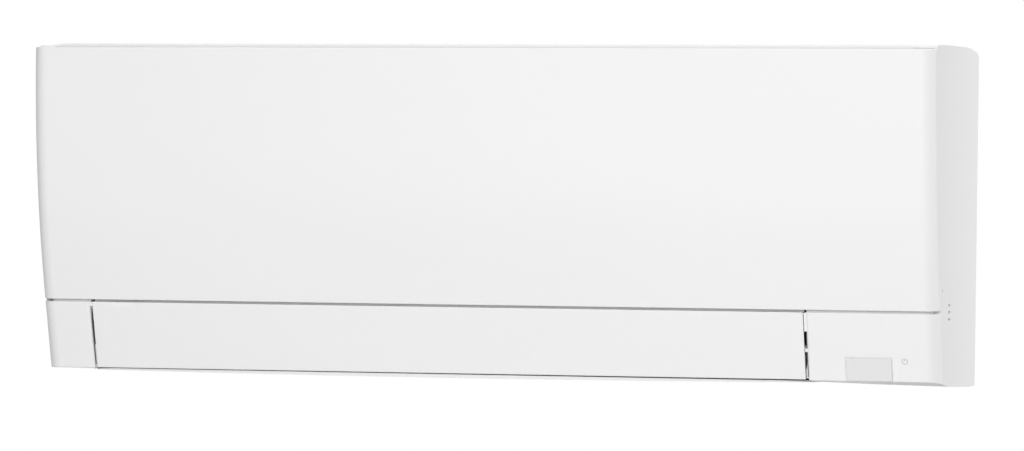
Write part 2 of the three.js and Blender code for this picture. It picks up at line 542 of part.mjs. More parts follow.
const louverEnds = (side) => {
  const xs = range(LOUVERS).map((i) => louverX(side, i));
  return [Math.min(...xs), Math.max(...xs)];
};
const louverBaseBody = (side) => {
  const [a, b] = louverEnds(side);
  const plate = patch([[-9, GAP], [9, GAP], [8, 2.3], [-8, 2.3]], a - 18, b + 18);
  const holes = range(LOUVERS).map((i) => standing(1.5 + GAP, louverX(side, i), 0, -2, 6));
  return cut(plate, holes);
};
const linkBody = (side) => {
  const [a, b] = louverEnds(side);
  const bar = patch([[LINK_S - 2.6, 6.0], [LINK_S + 2.6, 6.0], [LINK_S + 2.6, 8.8],
    [LINK_S - 2.6, 8.8]], a - 5, b + 5);
  const mid = (a + b) / 2;
  const grip = patch([[LINK_S - 2, 8], [LINK_S + 2, 8], [LINK_S + 1, 18], [LINK_S - 1, 18]],
    mid - 6, mid + 6);
  const holes = range(LOUVERS).map((i) => standing(1.3 + GAP, louverX(side, i), LINK_S, 3, 14));
  return cut(add(bar, grip), holes);
};

// ---------------------------------------------------------------- cross-flow fan
const RING_T = 2;
const bladeRing = (turn) => {
  const line = [[38.4, 0], [43.2, 0.055], [49, 0.2]];
  const sideA = line.map(([r, t]) => [r, t + turn]);
  const sideB = line.map(([r, t]) => [r - 0.15, t + turn + 1.25 / r]).reverse();
  return [...sideA, ...sideB].map(([r, t]) => [FAN_P + r * Math.cos(t), FAN_H - r * Math.sin(t)]);
};
const fanBody = () => {
  const blades = range(BLADES).map((i) =>
    alongX(bladeRing((2 * Math.PI * i) / BLADES), FAN_X0 + 0.6, FAN_X1 - 0.6));
  const ringX = steps(FAN_X0, FAN_X1 - RING_T, FAN_RINGS - 1);
  const rings = ringX.slice(1, -1).map((x) =>
    cut(rodX(FAN_R, x, x + RING_T, FAN_P, FAN_H, 28),
      rodX(FAN_R - 13, x - 1, x + RING_T + 1, FAN_P, FAN_H, 24)));
  const ends = [rodX(FAN_R, FAN_X0, FAN_X0 + RING_T, FAN_P, FAN_H, 28),
    rodX(FAN_R, FAN_X1 - RING_T, FAN_X1, FAN_P, FAN_H, 28)];
  const stub = rodX(SHAFT_R, DUCT_X0 - 5, FAN_X0 + 1, FAN_P, FAN_H);
  const hub = rodX(12, FAN_X1 - 8, FAN_X1 + 9, FAN_P, FAN_H);
  const bore = rodX(SHAFT_R + GAP, FAN_X1 - 5, FAN_X1 + 12, FAN_P, FAN_H);
  return cut(add(blades, rings, ends, stub, hub), bore);
};
const SHAFT_R = 4;
const shaftBody = () => rodX(SHAFT_R, FAN_X1 - 4.6, MOTOR_X0 + 28, FAN_P, FAN_H);
const ringX = (r0, r1, x0, x1, sides = 28) => cut(rodX(r1, x0, x1, FAN_P, FAN_H, sides),
  rodX(r0, x0 - 1, x1 + 1, FAN_P, FAN_H, sides));
const motorBody = () => {
  const can = rodX(MOTOR_R, MOTOR_X0 + 4, MOTOR_X1 - 4, FAN_P, FAN_H, 28);
  const bosses = rodX(16, MOTOR_X0, MOTOR_X1, FAN_P, FAN_H, 24);
  const flange = rodX(MOTOR_R + 1.6, MOTOR_X0 + 26, MOTOR_X0 + 30, FAN_P, FAN_H, 28);
  const lead = block(MOTOR_X0 + 20, MOTOR_X0 + 36, FAN_P - 30, FAN_P - 14, FAN_H - MOTOR_R,
    FAN_H - MOTOR_R + 12);
  const bore = rodX(SHAFT_R + GAP, MOTOR_X0 - 2, MOTOR_X0 + 30, FAN_P, FAN_H);
  return cut(add(can, bosses, flange, lead), bore);
};
const mountRing = ([x0, x1]) => ringX(MOTOR_R + GAP, MOTOR_RING, x0 - 0.6, x1 + 0.6);
const bracketBody = () => {
  const x0 = CRADLES[0][0] - 1.4;
  const x1 = CRADLES[1][1] + 1.4;
  const band = common(ringX(MOTOR_RING + GAP, MOTOR_RING + 2.3, x0, x1),
    block(x0, x1, FAN_P - 3.6, FAN_P + 60, FAN_H - 60, FAN_H + 60));
  const feet = [-1, 1].map((s) => {
    const a = FAN_H + (s * (MOTOR_RING + 1.2)) / STRETCH_H;
    const b = FAN_H + (s * (MOTOR_RING + 9)) / STRETCH_H;
    return block(x0, x1, FAN_P - 3.6, FAN_P - 1.4, Math.min(a, b), Math.max(a, b));
  });
  const windows = block(x0 + 9, x1 - 9, FAN_P + 10, FAN_P + 60, FAN_H - 30, FAN_H + 30);
  return cut(add(band, feet), windows);
};
const bearingBody = () => cut(rodX(13.7, DUCT_X0 - WALL - 1.4, DUCT_X0 + 1.4, FAN_P, FAN_H),
  rodX(SHAFT_R + GAP, DUCT_X0 - 9, DUCT_X0 + 9, FAN_P, FAN_H));
const holderBody = () => {
  const x1 = DUCT_X0 - WALL - GAP;
  const disc = rodX(22, x1 - 2, x1, FAN_P, FAN_H, 20);
  const cup = rodX(16.5, x1 - 4.5, x1, FAN_P, FAN_H, 20);
  const seat = rodX(13.7 + GAP, x1 - 1.8, x1 + 1, FAN_P, FAN_H, 20);
  const hole = rodX(8, x1 - 9, x1 + 1, FAN_P, FAN_H);
  return cut(add(disc, cup), seat, hole);
};

// ---------------------------------------------------------------- coil
const COIL_X0 = -HALF_W + 59;
const COIL_X1 = HALF_W - 144;
const COIL_T = 24;
const COILS = {
  rear: [[30.1, 139.7], [100.3, 42.4]],
  upper: [[115, 45], [198, 98]],
  lower: [[206, 110], [192.6, 190]],
};
const FINS = 28;
const axisOf = ([a, b]) => {
  const len = Math.hypot(b[0] - a[0], b[1] - a[1]);
  const u = [(b[0] - a[0]) / len, (b[1] - a[1]) / len];
  return { len, u, n: [u[1], -u[0]] };
};
const coilBody = (line) => {
  const { len, u, n } = axisOf(line);
  const pitch = (COIL_X1 - COIL_X0) / FINS;
  const comb = range(FINS).flatMap((i) => {
    const x = COIL_X0 + pitch * i;
    const top = COIL_T / 2;
    return [[x, top - 2.4], [x + 3.4, top - 2.4], [x + 3.4, top], [x + pitch, top]];
  });
  const outline = [[COIL_X0, -COIL_T / 2], ...comb, [COIL_X1, -COIL_T / 2]];
  const g = raise(shapeOf(outline), len);
  g.applyMatrix4(new THREE.Matrix4().makeBasis(new THREE.Vector3(1, 0, 0),
    new THREE.Vector3(0, toY(n[0]), -n[1] * STRETCH_H),
    new THREE.Vector3(0, toY(u[0]), -u[1] * STRETCH_H)));
  g.translate(0, toY(line[0][0]), toZ(line[0][1]));
  return toSolid(g);
};
const alongCoil = (line, s, d) => {
  const { u, n } = axisOf(line);
  return [line[0][0] + u[0] * s + n[0] * d, line[0][1] + u[1] * s + n[1] * d];
};
const TUBE_R = 3.5;
const returnBend = (line, s0, s1, d, xPlate, way) => {
  const at = (s, reach) => [xPlate + way * reach, ...alongCoil(line, s, d)];
  const mid = (s0 + s1) / 2;
  const half = Math.abs(s1 - s0) / 2;
  return pipe(TUBE_R, [at(s0, -0.6), at(s0, 6), at(mix(s0, mid, 0.3), 6 + half * 0.72),
    at(mid, 6 + half), at(mix(s1, mid, 0.3), 6 + half * 0.72), at(s1, 6), at(s1, -0.6)], 7, 6);
};
const coilPlateBody = (x0, way) => {
  const plates = Object.values(COILS).map((line) => {
    const { len } = axisOf(line);
    return alongX([alongCoil(line, -3, -COIL_T / 2), alongCoil(line, -3, COIL_T / 2),
      alongCoil(line, len + 3, COIL_T / 2), alongCoil(line, len + 3, -COIL_T / 2)],
    x0, x0 + 1.2);
  });
  const joins = [
    alongX([[92, 38], [126, 38], [122, 56], [98, 60]], x0, x0 + 1.2),
    alongX([[188, 82], [206, 92], [218, 112], [196, 116]], x0, x0 + 1.2),
  ];
  const face = way > 0 ? x0 + 1.2 : x0;
  const bends = Object.values(COILS).flatMap((line) => {
    const { len } = axisOf(line);
    const pitch = len / 5;
    const first = way > 0 ? [1, 3] : [0.5, 2.5];
    return first.map((k, i) => returnBend(line, pitch * k, pitch * (k + 1.2),
      i === 0 ? 6 : -6, face, way));
  });
  return add(plates, joins, bends);
};

// ---------------------------------------------------------------- pipes
const RUN_END = -60;
const nutBody = (x0, x1, r, p, h) => rodX(r, x0, x1, p, h, 6);
const GAS_R = 4.8;
const LIQUID_R = 3.2;
const fromCoil = ([x, p, h]) => [COIL_X1 + x, p, h];
const gasPipeBody = () => {
  const bends = [[2.3, 40, 134.5], [17, 40, 134.5], [35, 38, 136], [51, 33, 145],
    [58, 29.5, 164], [59, 29, 216], [59, 28, 240], [45, 26, 258], [23, 25.5, 261]];
  const run = pipe(GAS_R, [...bends.map(fromCoil), [100, 25.5, 261], [RUN_END, 25.5, 261]], 26);
  return add(run, nutBody(RUN_END - 14, RUN_END + 1, 9, 25.5, 261));
};
const liquidPipeBody = () => {
  const bends = [[2.3, 122.6, 49.8], [11, 122.6, 49.8], [29, 112, 56], [57, 70, 72],
    [76, 34, 100], [77, 29, 130], [77, 29, 222], [77, 28, 258], [63, 26, 278],
    [41, 25.5, 281.5]];
  const run = pipe(LIQUID_R,
    [...bends.map(fromCoil), [100, 25.5, 281.5], [RUN_END, 25.5, 281.5]], 28, 6);
  return add(run, nutBody(RUN_END - 12, RUN_END + 1, 7, 25.5, 281.5));
};
const pipeNotch = () => block(COIL_X1 + 49, COIL_X1 + 85, BACK_P + WALL + 2, RECESS_P - 3,
  RECESS_TOP - 4, RECESS_TOP + 8);

// ---------------------------------------------------------------- drain pan
const SPIGOT = [182, 204];
const SPIGOT_R = 6.5;
const panBody = () => {
  const x0 = DUCT_X0 + GAP;
  const x1 = DUCT_X1 - GAP;
  const solid = alongX([[166, 192], [163.4, 197], [164, 201], [201.4, 218.8], [204.8, 216.8],
    [209.8, 196], [207.6, 195.4], [203.2, 213]], x0, x1);
  const bulk = alongX([[166, 192], [163.4, 197], [164, 201], [201.4, 218.8], [204.8, 216.8],
    [209.8, 196]], x0, x1);
  const hollow = alongX([[168.4, 188], [168.4, 199], [200.8, 214.6], [203, 213.4],
    [208, 190]], x0 + WALL, x1 - WALL);
  const spouts = [rodX(SPIGOT_R, x0 - 18, x0 + 4, SPIGOT[0], SPIGOT[1]),
    rodX(SPIGOT_R, x1 - 4, x1 + 12, SPIGOT[0], SPIGOT[1])];
  const bores = [rodX(SPIGOT_R - 1.8, x0 - 20, x0 + 5, SPIGOT[0], SPIGOT[1] - 0.4),
    rodX(SPIGOT_R - 1.8, x1 - 5, x1 + 14, SPIGOT[0], SPIGOT[1] - 0.4)];
  return cut(add(solid, cut(bulk, hollow), spouts), bores);
};
const capBody = () => {
  const x1 = DUCT_X0 + GAP - 8;
  const cup = rodX(SPIGOT_R + 2, x1 - 12, x1, SPIGOT[0], SPIGOT[1]);
  const inside = rodX(SPIGOT_R + GAP, x1 - 10.4, x1 + 1, SPIGOT[0], SPIGOT[1]);
  const tab = rodX(3, x1 - 16, x1 - 11.5, SPIGOT[0], SPIGOT[1], 12);
  return add(cut(cup, inside), tab);
};

// ---------------------------------------------------------------- air filters
const filterRun = [...faceRun(40, 193, FILTER_BACK, 4).reverse(), [222, 24], [214, 13.5], [200, 9.2],
  [160, 7.6], [110, 8.2], [66, 9.4]];
const filterBody = (x0, x1) => {
  const ladder = steps(x0, x1 - 4, 3).map((x, i) => {
    const w = i === 0 || i === 3 ? 4 : 2;
    const from = i === 3 ? x : x + (i === 0 ? 0 : 1);
    return alongX(strip(filterRun, FILTER_T), from, from + w);
  });
  const rungAt = [0, 1, 2, 3, 4, 7, 8, 9, 10];
  const rungs = rungAt.map((i) => {
    const a = filterRun[i];
    const b = filterRun[Math.min(i + 1, filterRun.length - 1)];
    const prev = filterRun[i - 1] || a;
    const [c, d] = i === filterRun.length - 1 ? [prev, a] : [a, b];
    const len = Math.hypot(d[0] - c[0], d[1] - c[1]);
    const u = [(d[0] - c[0]) / len, (d[1] - c[1]) / len];
    const n = [u[1], -u[0]];
    const w = i === filterRun.length - 1 ? -2.4 : 2.4;
    return alongX([a, [a[0] + u[0] * w, a[1] + u[1] * w],
      [a[0] + u[0] * w + n[0] * FILTER_T, a[1] + u[1] * w + n[1] * FILTER_T],
      [a[0] + n[0] * FILTER_T, a[1] + n[1] * FILTER_T]], x0 + 1, x1 - 1);
  });
  return add(ladder, rungs);
};

// ---------------------------------------------------------------- electrics
const EBOX = { x0: HALF_W - 102.5, x1: HALF_W - 7, p0: 160, p1: 200, h0: 25, h1: 188 };
const BUTTON = { x: EBOX.x0 + 23.5, h: 174, r: 4 };
const eboxBody = () => {
  const { x0, x1, p0, p1, h0, h1 } = EBOX;
  const shell = cut(block(x0, x1, p0, p1, h0, h1), block(x0 + 2, x1 - 2, p0 + 2, p1 + 2,
    h0 + 2, h1 - 2));
  const posts = [[x0 + 8, h0 + 8], [x1 - 8, h0 + 8], [x0 + 8, h1 - 34], [x1 - 8, h1 - 34]].map(
    ([x, h]) => rod(3, [x, p0 + 1, h], [x, p0 + 7.7, h], 10));
  const gland = block(x0 + 50, x0 + 80, p0 + 10, p1 - 12, h1 - 4, h1 + 2);
  const leads = block(x0 - 2, x0 + 4, p0 + 8, p0 + 26, h0 + 20, h0 + 50);
  return cut(add(shell, posts), gland, leads);
};
const coverLidBody = () => {
  const { x0, x1, p1, h0, h1 } = EBOX;
  const lid = block(x0, x1, p1 + GAP, p1 + 2.4, h0, h1);
  const lipX = block(x0 + 2.4, x1 - 2.4, p1 - 3, p1 + 1, h0 + 2.4, h1 - 2.4);
  const inner = block(x0 + 4.2, x1 - 4.2, p1 - 5, p1 + GAP, h0 + 4.2, h1 - 4.2);
  const hole = rod(BUTTON.r + GAP, [BUTTON.x, p1 - 5, BUTTON.h], [BUTTON.x, p1 + 6, BUTTON.h], 20);
  return cut(add(lid, cut(lipX, inner)), hole);
};
const controlBoardBody = () => {
  const { x0, x1, p0, h0, h1 } = EBOX;
  const pb = p0 + 8;
  const board = block(x0 + 4, x1 - 4, pb, pb + 1.6, h0 + 4, h1 - 28);
  const on = (xa, xb, depth, ha, hb) => block(xa, xb, pb + 1.2, pb + depth, ha, hb);
  const parts = [
    on(x0 + 12, x0 + 40, 22, h0 + 92, h0 + 122), on(x0 + 50, x0 + 64, 18, h0 + 96, h0 + 116),
    on(x0 + 68, x0 + 82, 18, h0 + 96, h0 + 116), on(x0 + 12, x0 + 36, 5, h0 + 58, h0 + 80),
    on(x0 + 52, x0 + 82, 14, h0 + 14, h0 + 20), on(x0 + 14, x0 + 44, 9, h0 + 14, h0 + 22),
    on(x0 + 14, x0 + 40, 9, h0 + 32, h0 + 38),
  ];
  const cans = [[x0 + 60, h0 + 74, 9, 24], [x0 + 76, h0 + 52, 6.5, 18], [x0 + 54, h0 + 48, 5, 14]]
    .map(([x, h, r, len]) => rod(r, [x, pb + 1.2, h], [x, pb + len, h], 16));
  return add(board, parts, cans);
};
const terminalBody = () => {
  const { x0, p0, h1 } = EBOX;
  const base = block(x0 + 44, x0 + 88, p0 + 2 + GAP, p0 + 12, h1 - 22, h1 - 5);
  const walls = steps(x0 + 44, x0 + 86, 4).map((x) =>
    block(x, x + 2, p0 + 11, p0 + 22, h1 - 22, h1 - 5));
  const heads = range(4).map((i) => {
    const x = x0 + 50.2 + 10.5 * i;
    return rod(3.2, [x, p0 + 11, h1 - 13.5], [x, p0 + 15, h1 - 13.5], 12);
  });
  return add(base, walls, heads);
};
const buttonBody = () => {
  const { x, h, r } = BUTTON;
  const cap = rod(r, [x, EBOX.p1 - 4, h], [x, EBOX.p1 + 5, h], 20);
  const collar = rod(r + 2, [x, EBOX.p1 - 5, h], [x, EBOX.p1 - GAP, h], 20);
  return add(cap, collar);
};
const buttonWay = () => rod(8, [BUTTON.x, 190, BUTTON.h], [BUTTON.x, 240, BUTTON.h], 20);
const coilSensorBody = () => {
  const [p, h] = alongCoil(COILS.upper, 92, 2);
  const bulb = rodX(2.8, COIL_X1 + 1.8 + GAP, COIL_X1 + 24, p, h, 12);
  const clip = rodX(4, COIL_X1 + 6, COIL_X1 + 9, p, h, 12);
  return add(bulb, clip);
};
const roomSensorBody = () => {
  const x1 = HALF_W - WALL - GAP;
  const back = block(x1 - 12, x1, SENSOR_P - 11, SENSOR_P - 8.6, 217, 240);
  const arms = block(x1 - 12, x1, SENSOR_P - 9, SENSOR_P + 9, 217, 219);
  const foot = block(x1 - 12, x1, SENSOR_P - 9, SENSOR_P + 9, 238, 240);
  const bulb = rod(2.2, [x1 - 6, SENSOR_P, 218.5], [x1 - 6, SENSOR_P, 232], 12);
  return add(back, arms, foot, bulb);
};

// ---------------------------------------------------------------- screws
const SCREW_X = [MOUTH_LEFT + 104.6, -35, MOUTH_RIGHT - 105.2];
const SCREW_P = 176;
const HEAD_R = 3.2;
const HEAD_T = 1.1;           // the head lies flush in its seat
const floorAt = (p) => mix(BOTTOM_FRONT[1], SHEET.h,
  (BOTTOM_FRONT[0] - p) / (BOTTOM_FRONT[0] - BACK_LOW - 2));
const screwBody = (x) => {
  const low = floorAt(SCREW_P);
  const head = rod(HEAD_R, [x, SCREW_P, low - HEAD_T], [x, SCREW_P, low], 16);
  const shank = rod(1.6, [x, SCREW_P, low - HEAD_T + 0.5], [x, SCREW_P, low - 5], 12);
  const slot = block(x - 0.5, x + 0.5, SCREW_P - 2.4, SCREW_P + 2.4, low - 0.6, low + 1);
  return cut(add(head, shank), slot);
};
const screwHoles = (r) => SCREW_X.map((x) =>
  rod(r, [x, SCREW_P, floorAt(SCREW_P) - 6], [x, SCREW_P, floorAt(SCREW_P) + 5], 12));
const screwSeats = () => SCREW_X.map((x) => rod(HEAD_R + GAP,
  [x, SCREW_P, floorAt(SCREW_P) - HEAD_T - GAP], [x, SCREW_P, floorAt(SCREW_P) + 3], 16));
const screwBosses = () => SCREW_X.map((x) =>
  block(x - 6, x + 6, SCREW_P - 6, SCREW_P + 4.5, 284.6, floorAt(SCREW_P) - WALL - 0.6));

// ---------------------------------------------------------------- assembly
place("wall_plate", plateBody(), STEEL);
place("rear_chassis", cut(add(chassisBody(), screwBosses()), screwHoles(1.6 + GAP), pipeNotch(),
  rodX(SPIGOT_R + GAP, DUCT_X0 - 8, DUCT_X0 + 8, ...SPIGOT),
  rodX(SPIGOT_R + GAP, DUCT_X1 - 8, DUCT_X1 + 8, ...SPIGOT)), GREY_INNER);
place("front_casing", cut(casingBody(), screwHoles(1.6 + GAP), screwSeats(), buttonWay()),
  WHITE_SATIN);
place("front_panel", panelBody(), WHITE_GLOSS);
place("left_corner_cover", coverBody(-1), WHITE_GLOSS);
place("right_corner_cover", rightCoverBody(), WHITE_GLOSS);
place("display_window", windowBody(), TINT);
place("display_board", displayBoardBody(), BOARD_GREEN);
place("horizontal_vane", vaneBody(), WHITE_GLOSS);
place("vane_bush", bushBody(), WHITE_INNER);
place("vane_motor", vaneMotorBody(), STEEL);
["left", "right"].forEach((word) => {
  const side = word === "left" ? -1 : 1;
  place(`louver_base_${word}`, louverBaseBody(side), GREY_INNER);
  place(`louver_link_${word}`, linkBody(side), GREY_INNER);
  range(LOUVERS).forEach((i) => {
    place(`louver_${word}_${i + 1}`, louverBody(louverX(side, i)), GREY_INNER);
  });
});
place("cross_flow_fan", fanBody(), BLACK_PLASTIC);
place("motor_shaft", shaftBody(), STEEL);
place("fan_motor", motorBody(), STEEL);
place("motor_mount_left", mountRing(CRADLES[0]), RUBBER);
place("motor_mount_right", mountRing(CRADLES[1]), RUBBER);
place("motor_bracket", bracketBody(), STEEL);
place("fan_bearing", bearingBody(), RUBBER);
place("bearing_holder", holderBody(), WHITE_INNER);
place("coil_rear", coilBody(COILS.rear), ALUMINIUM);
place("coil_upper", coilBody(COILS.upper), ALUMINIUM);
place("coil_lower", coilBody(COILS.lower), ALUMINIUM);
place("coil_plate_left", coilPlateBody(COIL_X0 - 1.8, -1), COPPER);
place("coil_plate_right", coilPlateBody(COIL_X1 + 0.6, 1), COPPER);
place("gas_pipe", gasPipeBody(), COPPER);
place("liquid_pipe", liquidPipeBody(), COPPER);
place("drain_pan", panBody(), FOAM);
place("drain_cap", capBody(), RUBBER);
place("air_filter_left", filterBody(FRAME_X[0] - 2, FRAME_X[1] + 2), FILTER_BLUE);
place("air_filter_right", filterBody(FRAME_X[2] - 2, FRAME_X[3] + 2), FILTER_BLUE);
place("electrical_box", eboxBody(), WHITE_INNER);
place("electrical_cover", coverLidBody(), WHITE_INNER);
place("control_board", controlBoardBody(), BOARD_GREEN);
place("terminal_block", terminalBody(), BLACK_PLASTIC);
place("manual_switch", buttonBody(), WHITE_INNER);
place("coil_sensor", coilSensorBody(), COPPER);
place("room_sensor", roomSensorBody(), WHITE_INNER);
SCREW_X.forEach((x, i) => place(`casing_screw_${i + 1}`, screwBody(x), STEEL));

export default unit;
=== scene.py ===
"""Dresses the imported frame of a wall-hung mini split indoor unit for a studio picture.

Row frame, metres: X is the viewer's right, Y goes into the wall, Z is up.
Section sizes are in millimetres: p is the distance out from the wall, h the
distance down from the top of the unit, and e the setback behind the front skin.
"""

import json  # noqa: E402
import logging  # noqa: E402
import math  # noqa: E402
from dataclasses import dataclass, field  # noqa: E402
from enum import Enum  # noqa: E402
from typing import Any  # noqa: E402

import bmesh  # noqa: E402
import bpy  # noqa: E402
import numpy as np  # noqa: E402
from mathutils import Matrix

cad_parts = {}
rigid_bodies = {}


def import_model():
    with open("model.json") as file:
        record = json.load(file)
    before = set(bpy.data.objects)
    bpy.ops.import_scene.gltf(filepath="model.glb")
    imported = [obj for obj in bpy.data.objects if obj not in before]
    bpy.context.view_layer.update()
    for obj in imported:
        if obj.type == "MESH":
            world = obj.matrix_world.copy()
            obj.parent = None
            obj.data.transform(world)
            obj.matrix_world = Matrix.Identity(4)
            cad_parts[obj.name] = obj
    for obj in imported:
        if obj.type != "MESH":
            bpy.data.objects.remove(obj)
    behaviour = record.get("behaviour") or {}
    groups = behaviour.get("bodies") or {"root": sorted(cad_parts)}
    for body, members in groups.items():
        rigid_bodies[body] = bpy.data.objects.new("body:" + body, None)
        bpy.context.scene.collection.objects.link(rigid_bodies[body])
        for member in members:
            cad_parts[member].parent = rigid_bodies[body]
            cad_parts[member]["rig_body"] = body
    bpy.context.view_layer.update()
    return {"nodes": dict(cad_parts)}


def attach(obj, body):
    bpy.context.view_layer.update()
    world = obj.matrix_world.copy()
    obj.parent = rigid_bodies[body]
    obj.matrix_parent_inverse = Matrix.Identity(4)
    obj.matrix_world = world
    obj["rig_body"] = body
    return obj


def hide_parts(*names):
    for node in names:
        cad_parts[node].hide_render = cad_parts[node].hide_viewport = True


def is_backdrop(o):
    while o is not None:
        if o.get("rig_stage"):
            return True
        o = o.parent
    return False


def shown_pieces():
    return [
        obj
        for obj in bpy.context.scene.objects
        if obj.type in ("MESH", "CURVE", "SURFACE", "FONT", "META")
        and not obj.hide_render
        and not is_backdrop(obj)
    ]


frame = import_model()
LOG = logging.getLogger("indoor_unit")

Array = np.ndarray
Colour = tuple[float, float, float]
HALF_HEIGHT = 150.0


def row(x: Array, p: Array, h: Array) -> Array:
    """Turns section sizes into row frame points.

    Args:
        x: Millimetres to the viewer's right.
        p: Millimetres out from the wall.
        h: Millimetres down from the top.

    Returns:
        Points in metres, with the three coordinates on the last axis.
    """
    x, p, h = np.broadcast_arrays(x, p, h)
    return np.stack([x, -p, HALF_HEIGHT - h], axis=-1) / 1000.0


def ramp(value: Array, start: float, run: float) -> Array:
    """0 up to the start, then a straight rise to 1 over the run."""
    return np.clip((value - start) / run, 0, 1)


def fade(value: Array, end: float, run: float) -> Array:
    """1 up to a run before the end, then a straight fall to 0 at the end."""
    return np.clip((end - value) / run, 0, 1)


def rectangle(p: tuple[float, float], h: tuple[float, float]) -> Array:
    """Section corners [p, h] from the two distances out and the two heights."""
    return np.array([[p[0], h[0]], [p[1], h[0]], [p[1], h[1]], [p[0], h[1]]])


@dataclass(frozen=True)
class FrontSkin:
    """The bowed front: an arc down from the crown, then a straight lean."""

    depth: float = 245.0
    crown: float = 40.5
    radius: float = 705.0
    lean_from: float = 222.5
    edge: float = 13.0
    half_width: float = 399.0

    def out(self, h: Array) -> Array:
        """Distance of the skin from the wall: the depth less the arc's drop, then a straight line on.

        Args:
            h: Millimetres down from the top.

        Returns:
            Millimetres out from the wall.
        """
        h = np.asarray(h, float)
        down = np.minimum(h, self.lean_from) - self.crown
        drop = self.radius - np.sqrt(self.radius**2 - down**2)
        rise = self.lean_from - self.crown
        lean = rise / math.sqrt(self.radius**2 - rise**2)
        return self.depth - drop - lean * np.maximum(h - self.lean_from, 0.0)

    def arc(self, side: int, inset: Array, turn: Array) -> tuple[Array, Array]:
        """Plan of a rounded upright edge: a circle about its centre, made smaller by the inset.

        Args:
            side: 1 for the right edge, -1 for the left.
            inset: Millimetres that each row lies inside the skin, as a column.
            turn: Angles in radians, 0 at the front and a quarter turn at the side, as a row.

        Returns:
            x and e of the points.
        """
        r = self.edge - inset
        return side * (self.half_width - self.edge + r * np.sin(turn)), self.edge - r * np.cos(turn)


FRONT = FrontSkin()


@dataclass(frozen=True)
class Opening:
    """A four-sided opening in the front skin, in millimetres."""

    left: float
    right: float
    high: float
    low: float


WINDOW = Opening(318.5, 357.5, 265.5, 284.6)


def skin_band(h: Array, near: float, far: float) -> Array:
    """Section of a band that follows the front skin.

    Args:
        h: Heights along the band.
        near: Setback of its front behind the skin.
        far: Setback of its back.

    Returns:
        Section points [p, h], in order round the band.
    """
    front, back = (np.stack([FRONT.out(h) - e, h], axis=1) for e in (near, far))
    return np.concatenate([front, back[::-1]])


class Shading(Enum):
    """How a mesh's faces meet: those that turn by more than this many degrees meet in a sharp edge."""

    SMOOTH = 40.0
    CRISP = 25.0


class Surface:
    """Gathers grids of points into one mesh."""

    def __init__(self, name: str) -> None:
        """Starts an empty surface with the piece's name."""
        self.name = name
        self.points: list[Array] = []
        self.quads: list[Array] = []
        self.caps: list[Array] = []
        self.count = 0

    def grid(self, points: Array, around: bool = False, flip: bool = False,
             keep: Array | None = None) -> "Surface":
        """Adds a grid: each cell between four neighbouring points is a face.

        Args:
            points: Array of rows, columns and coordinates.
            around: Joins the last column to the first.
            flip: Turns the faces over.
            keep: Which cells are solid; the others stay open.

        Returns:
            The surface, so that calls can follow each other.
        """
        rows, cols = points.shape[:2]
        index = np.arange(rows * cols).reshape(rows, cols) + self.count
        if around:
            index = np.concatenate([index, index[:, :1]], axis=1)
        quads = np.stack([index[:-1, :-1], index[:-1, 1:], index[1:, 1:], index[1:, :-1]], axis=-1)
        if keep is not None:
            quads = quads[keep]
        quads = quads.reshape(-1, 4)
        self.quads.append(quads[:, ::-1] if flip else quads)
        self.points.append(points.reshape(-1, 3))
        self.count += rows * cols
        return self

    def cap(self, ring: Array, flip: bool = False) -> "Surface":
        """Adds one flat many-sided face on a ring of points."""
        index = np.arange(len(ring)) + self.count
        self.caps.append(index[::-1] if flip else index)
        self.points.append(ring)
        self.count += len(ring)
        return self

    def closed(self, body: Array, flip: bool = True) -> "Surface":
        """Adds rings of points as one body, with a flat face on the first and on the last ring."""
        return self.grid(body, around=True, flip=flip).cap(body[0]).cap(body[-1], flip=True)

    def bar(self, ring: Array, x0: float, x1: float) -> "Surface":
        """Adds a closed section carried along X between two ends.

        Args:
            ring: Section points [p, h], in order round the section.
            x0: Left end.
            x1: Right end.

        Returns:
            The surface.
        """
        area = np.sum(ring[:, 0] * np.roll(ring[:, 1], -1) - np.roll(ring[:, 0], -1) * ring[:, 1])
        ring = ring if area > 0 else ring[::-1]
        return self.closed(row(np.array([[x0], [x1]]), ring[None, :, 0], ring[None, :, 1]))

    def tube(self, centre: Array, radius: Array, sides: int = 24) -> "Surface":
        """Adds a round tube: circles square to a path, with closed ends.

        Args:
            centre: Path points in row frame metres.
            radius: Radius in metres at each path point.
            sides: Points round each circle.

        Returns:
            The surface.
        """
        along = np.gradient(centre, axis=0)
        along /= np.linalg.norm(along, axis=1, keepdims=True)
        start = np.array([0.0, 0.0, 1.0]) if abs(along[0, 2]) < 0.8 else np.array([0.0, 1.0, 0.0])
        a = np.cross(along, start)
        a /= np.linalg.norm(a, axis=1, keepdims=True)
        b = np.cross(along, a)
        t = np.linspace(0, 2 * math.pi, sides, endpoint=False)
        ring = a[:, None] * np.cos(t)[None, :, None] + b[:, None] * np.sin(t)[None, :, None]
        return self.closed(centre[:, None] + ring * radius[:, None, None])

    def build(self, shading: Shading = Shading.SMOOTH) -> bpy.types.Object:
        """Makes the object, with near points merged and faces without size taken out.

        Args:
            shading: How its faces meet.

        Returns:
            The new object, linked to the scene.
        """
        mesh = bpy.data.meshes.new(self.name)
        faces = [f for q in self.quads for f in q.tolist()] + [c.tolist() for c in self.caps]
        mesh.from_pydata(np.concatenate(self.points).tolist(), [], faces)
        work = bmesh.new()
        work.from_mesh(mesh)
        bmesh.ops.remove_doubles(work, verts=work.verts, dist=2e-6)
        bmesh.ops.dissolve_degenerate(work, edges=work.edges, dist=1e-7)
        work.to_mesh(mesh)
        work.free()
        return linked(self.name, mesh, shading)


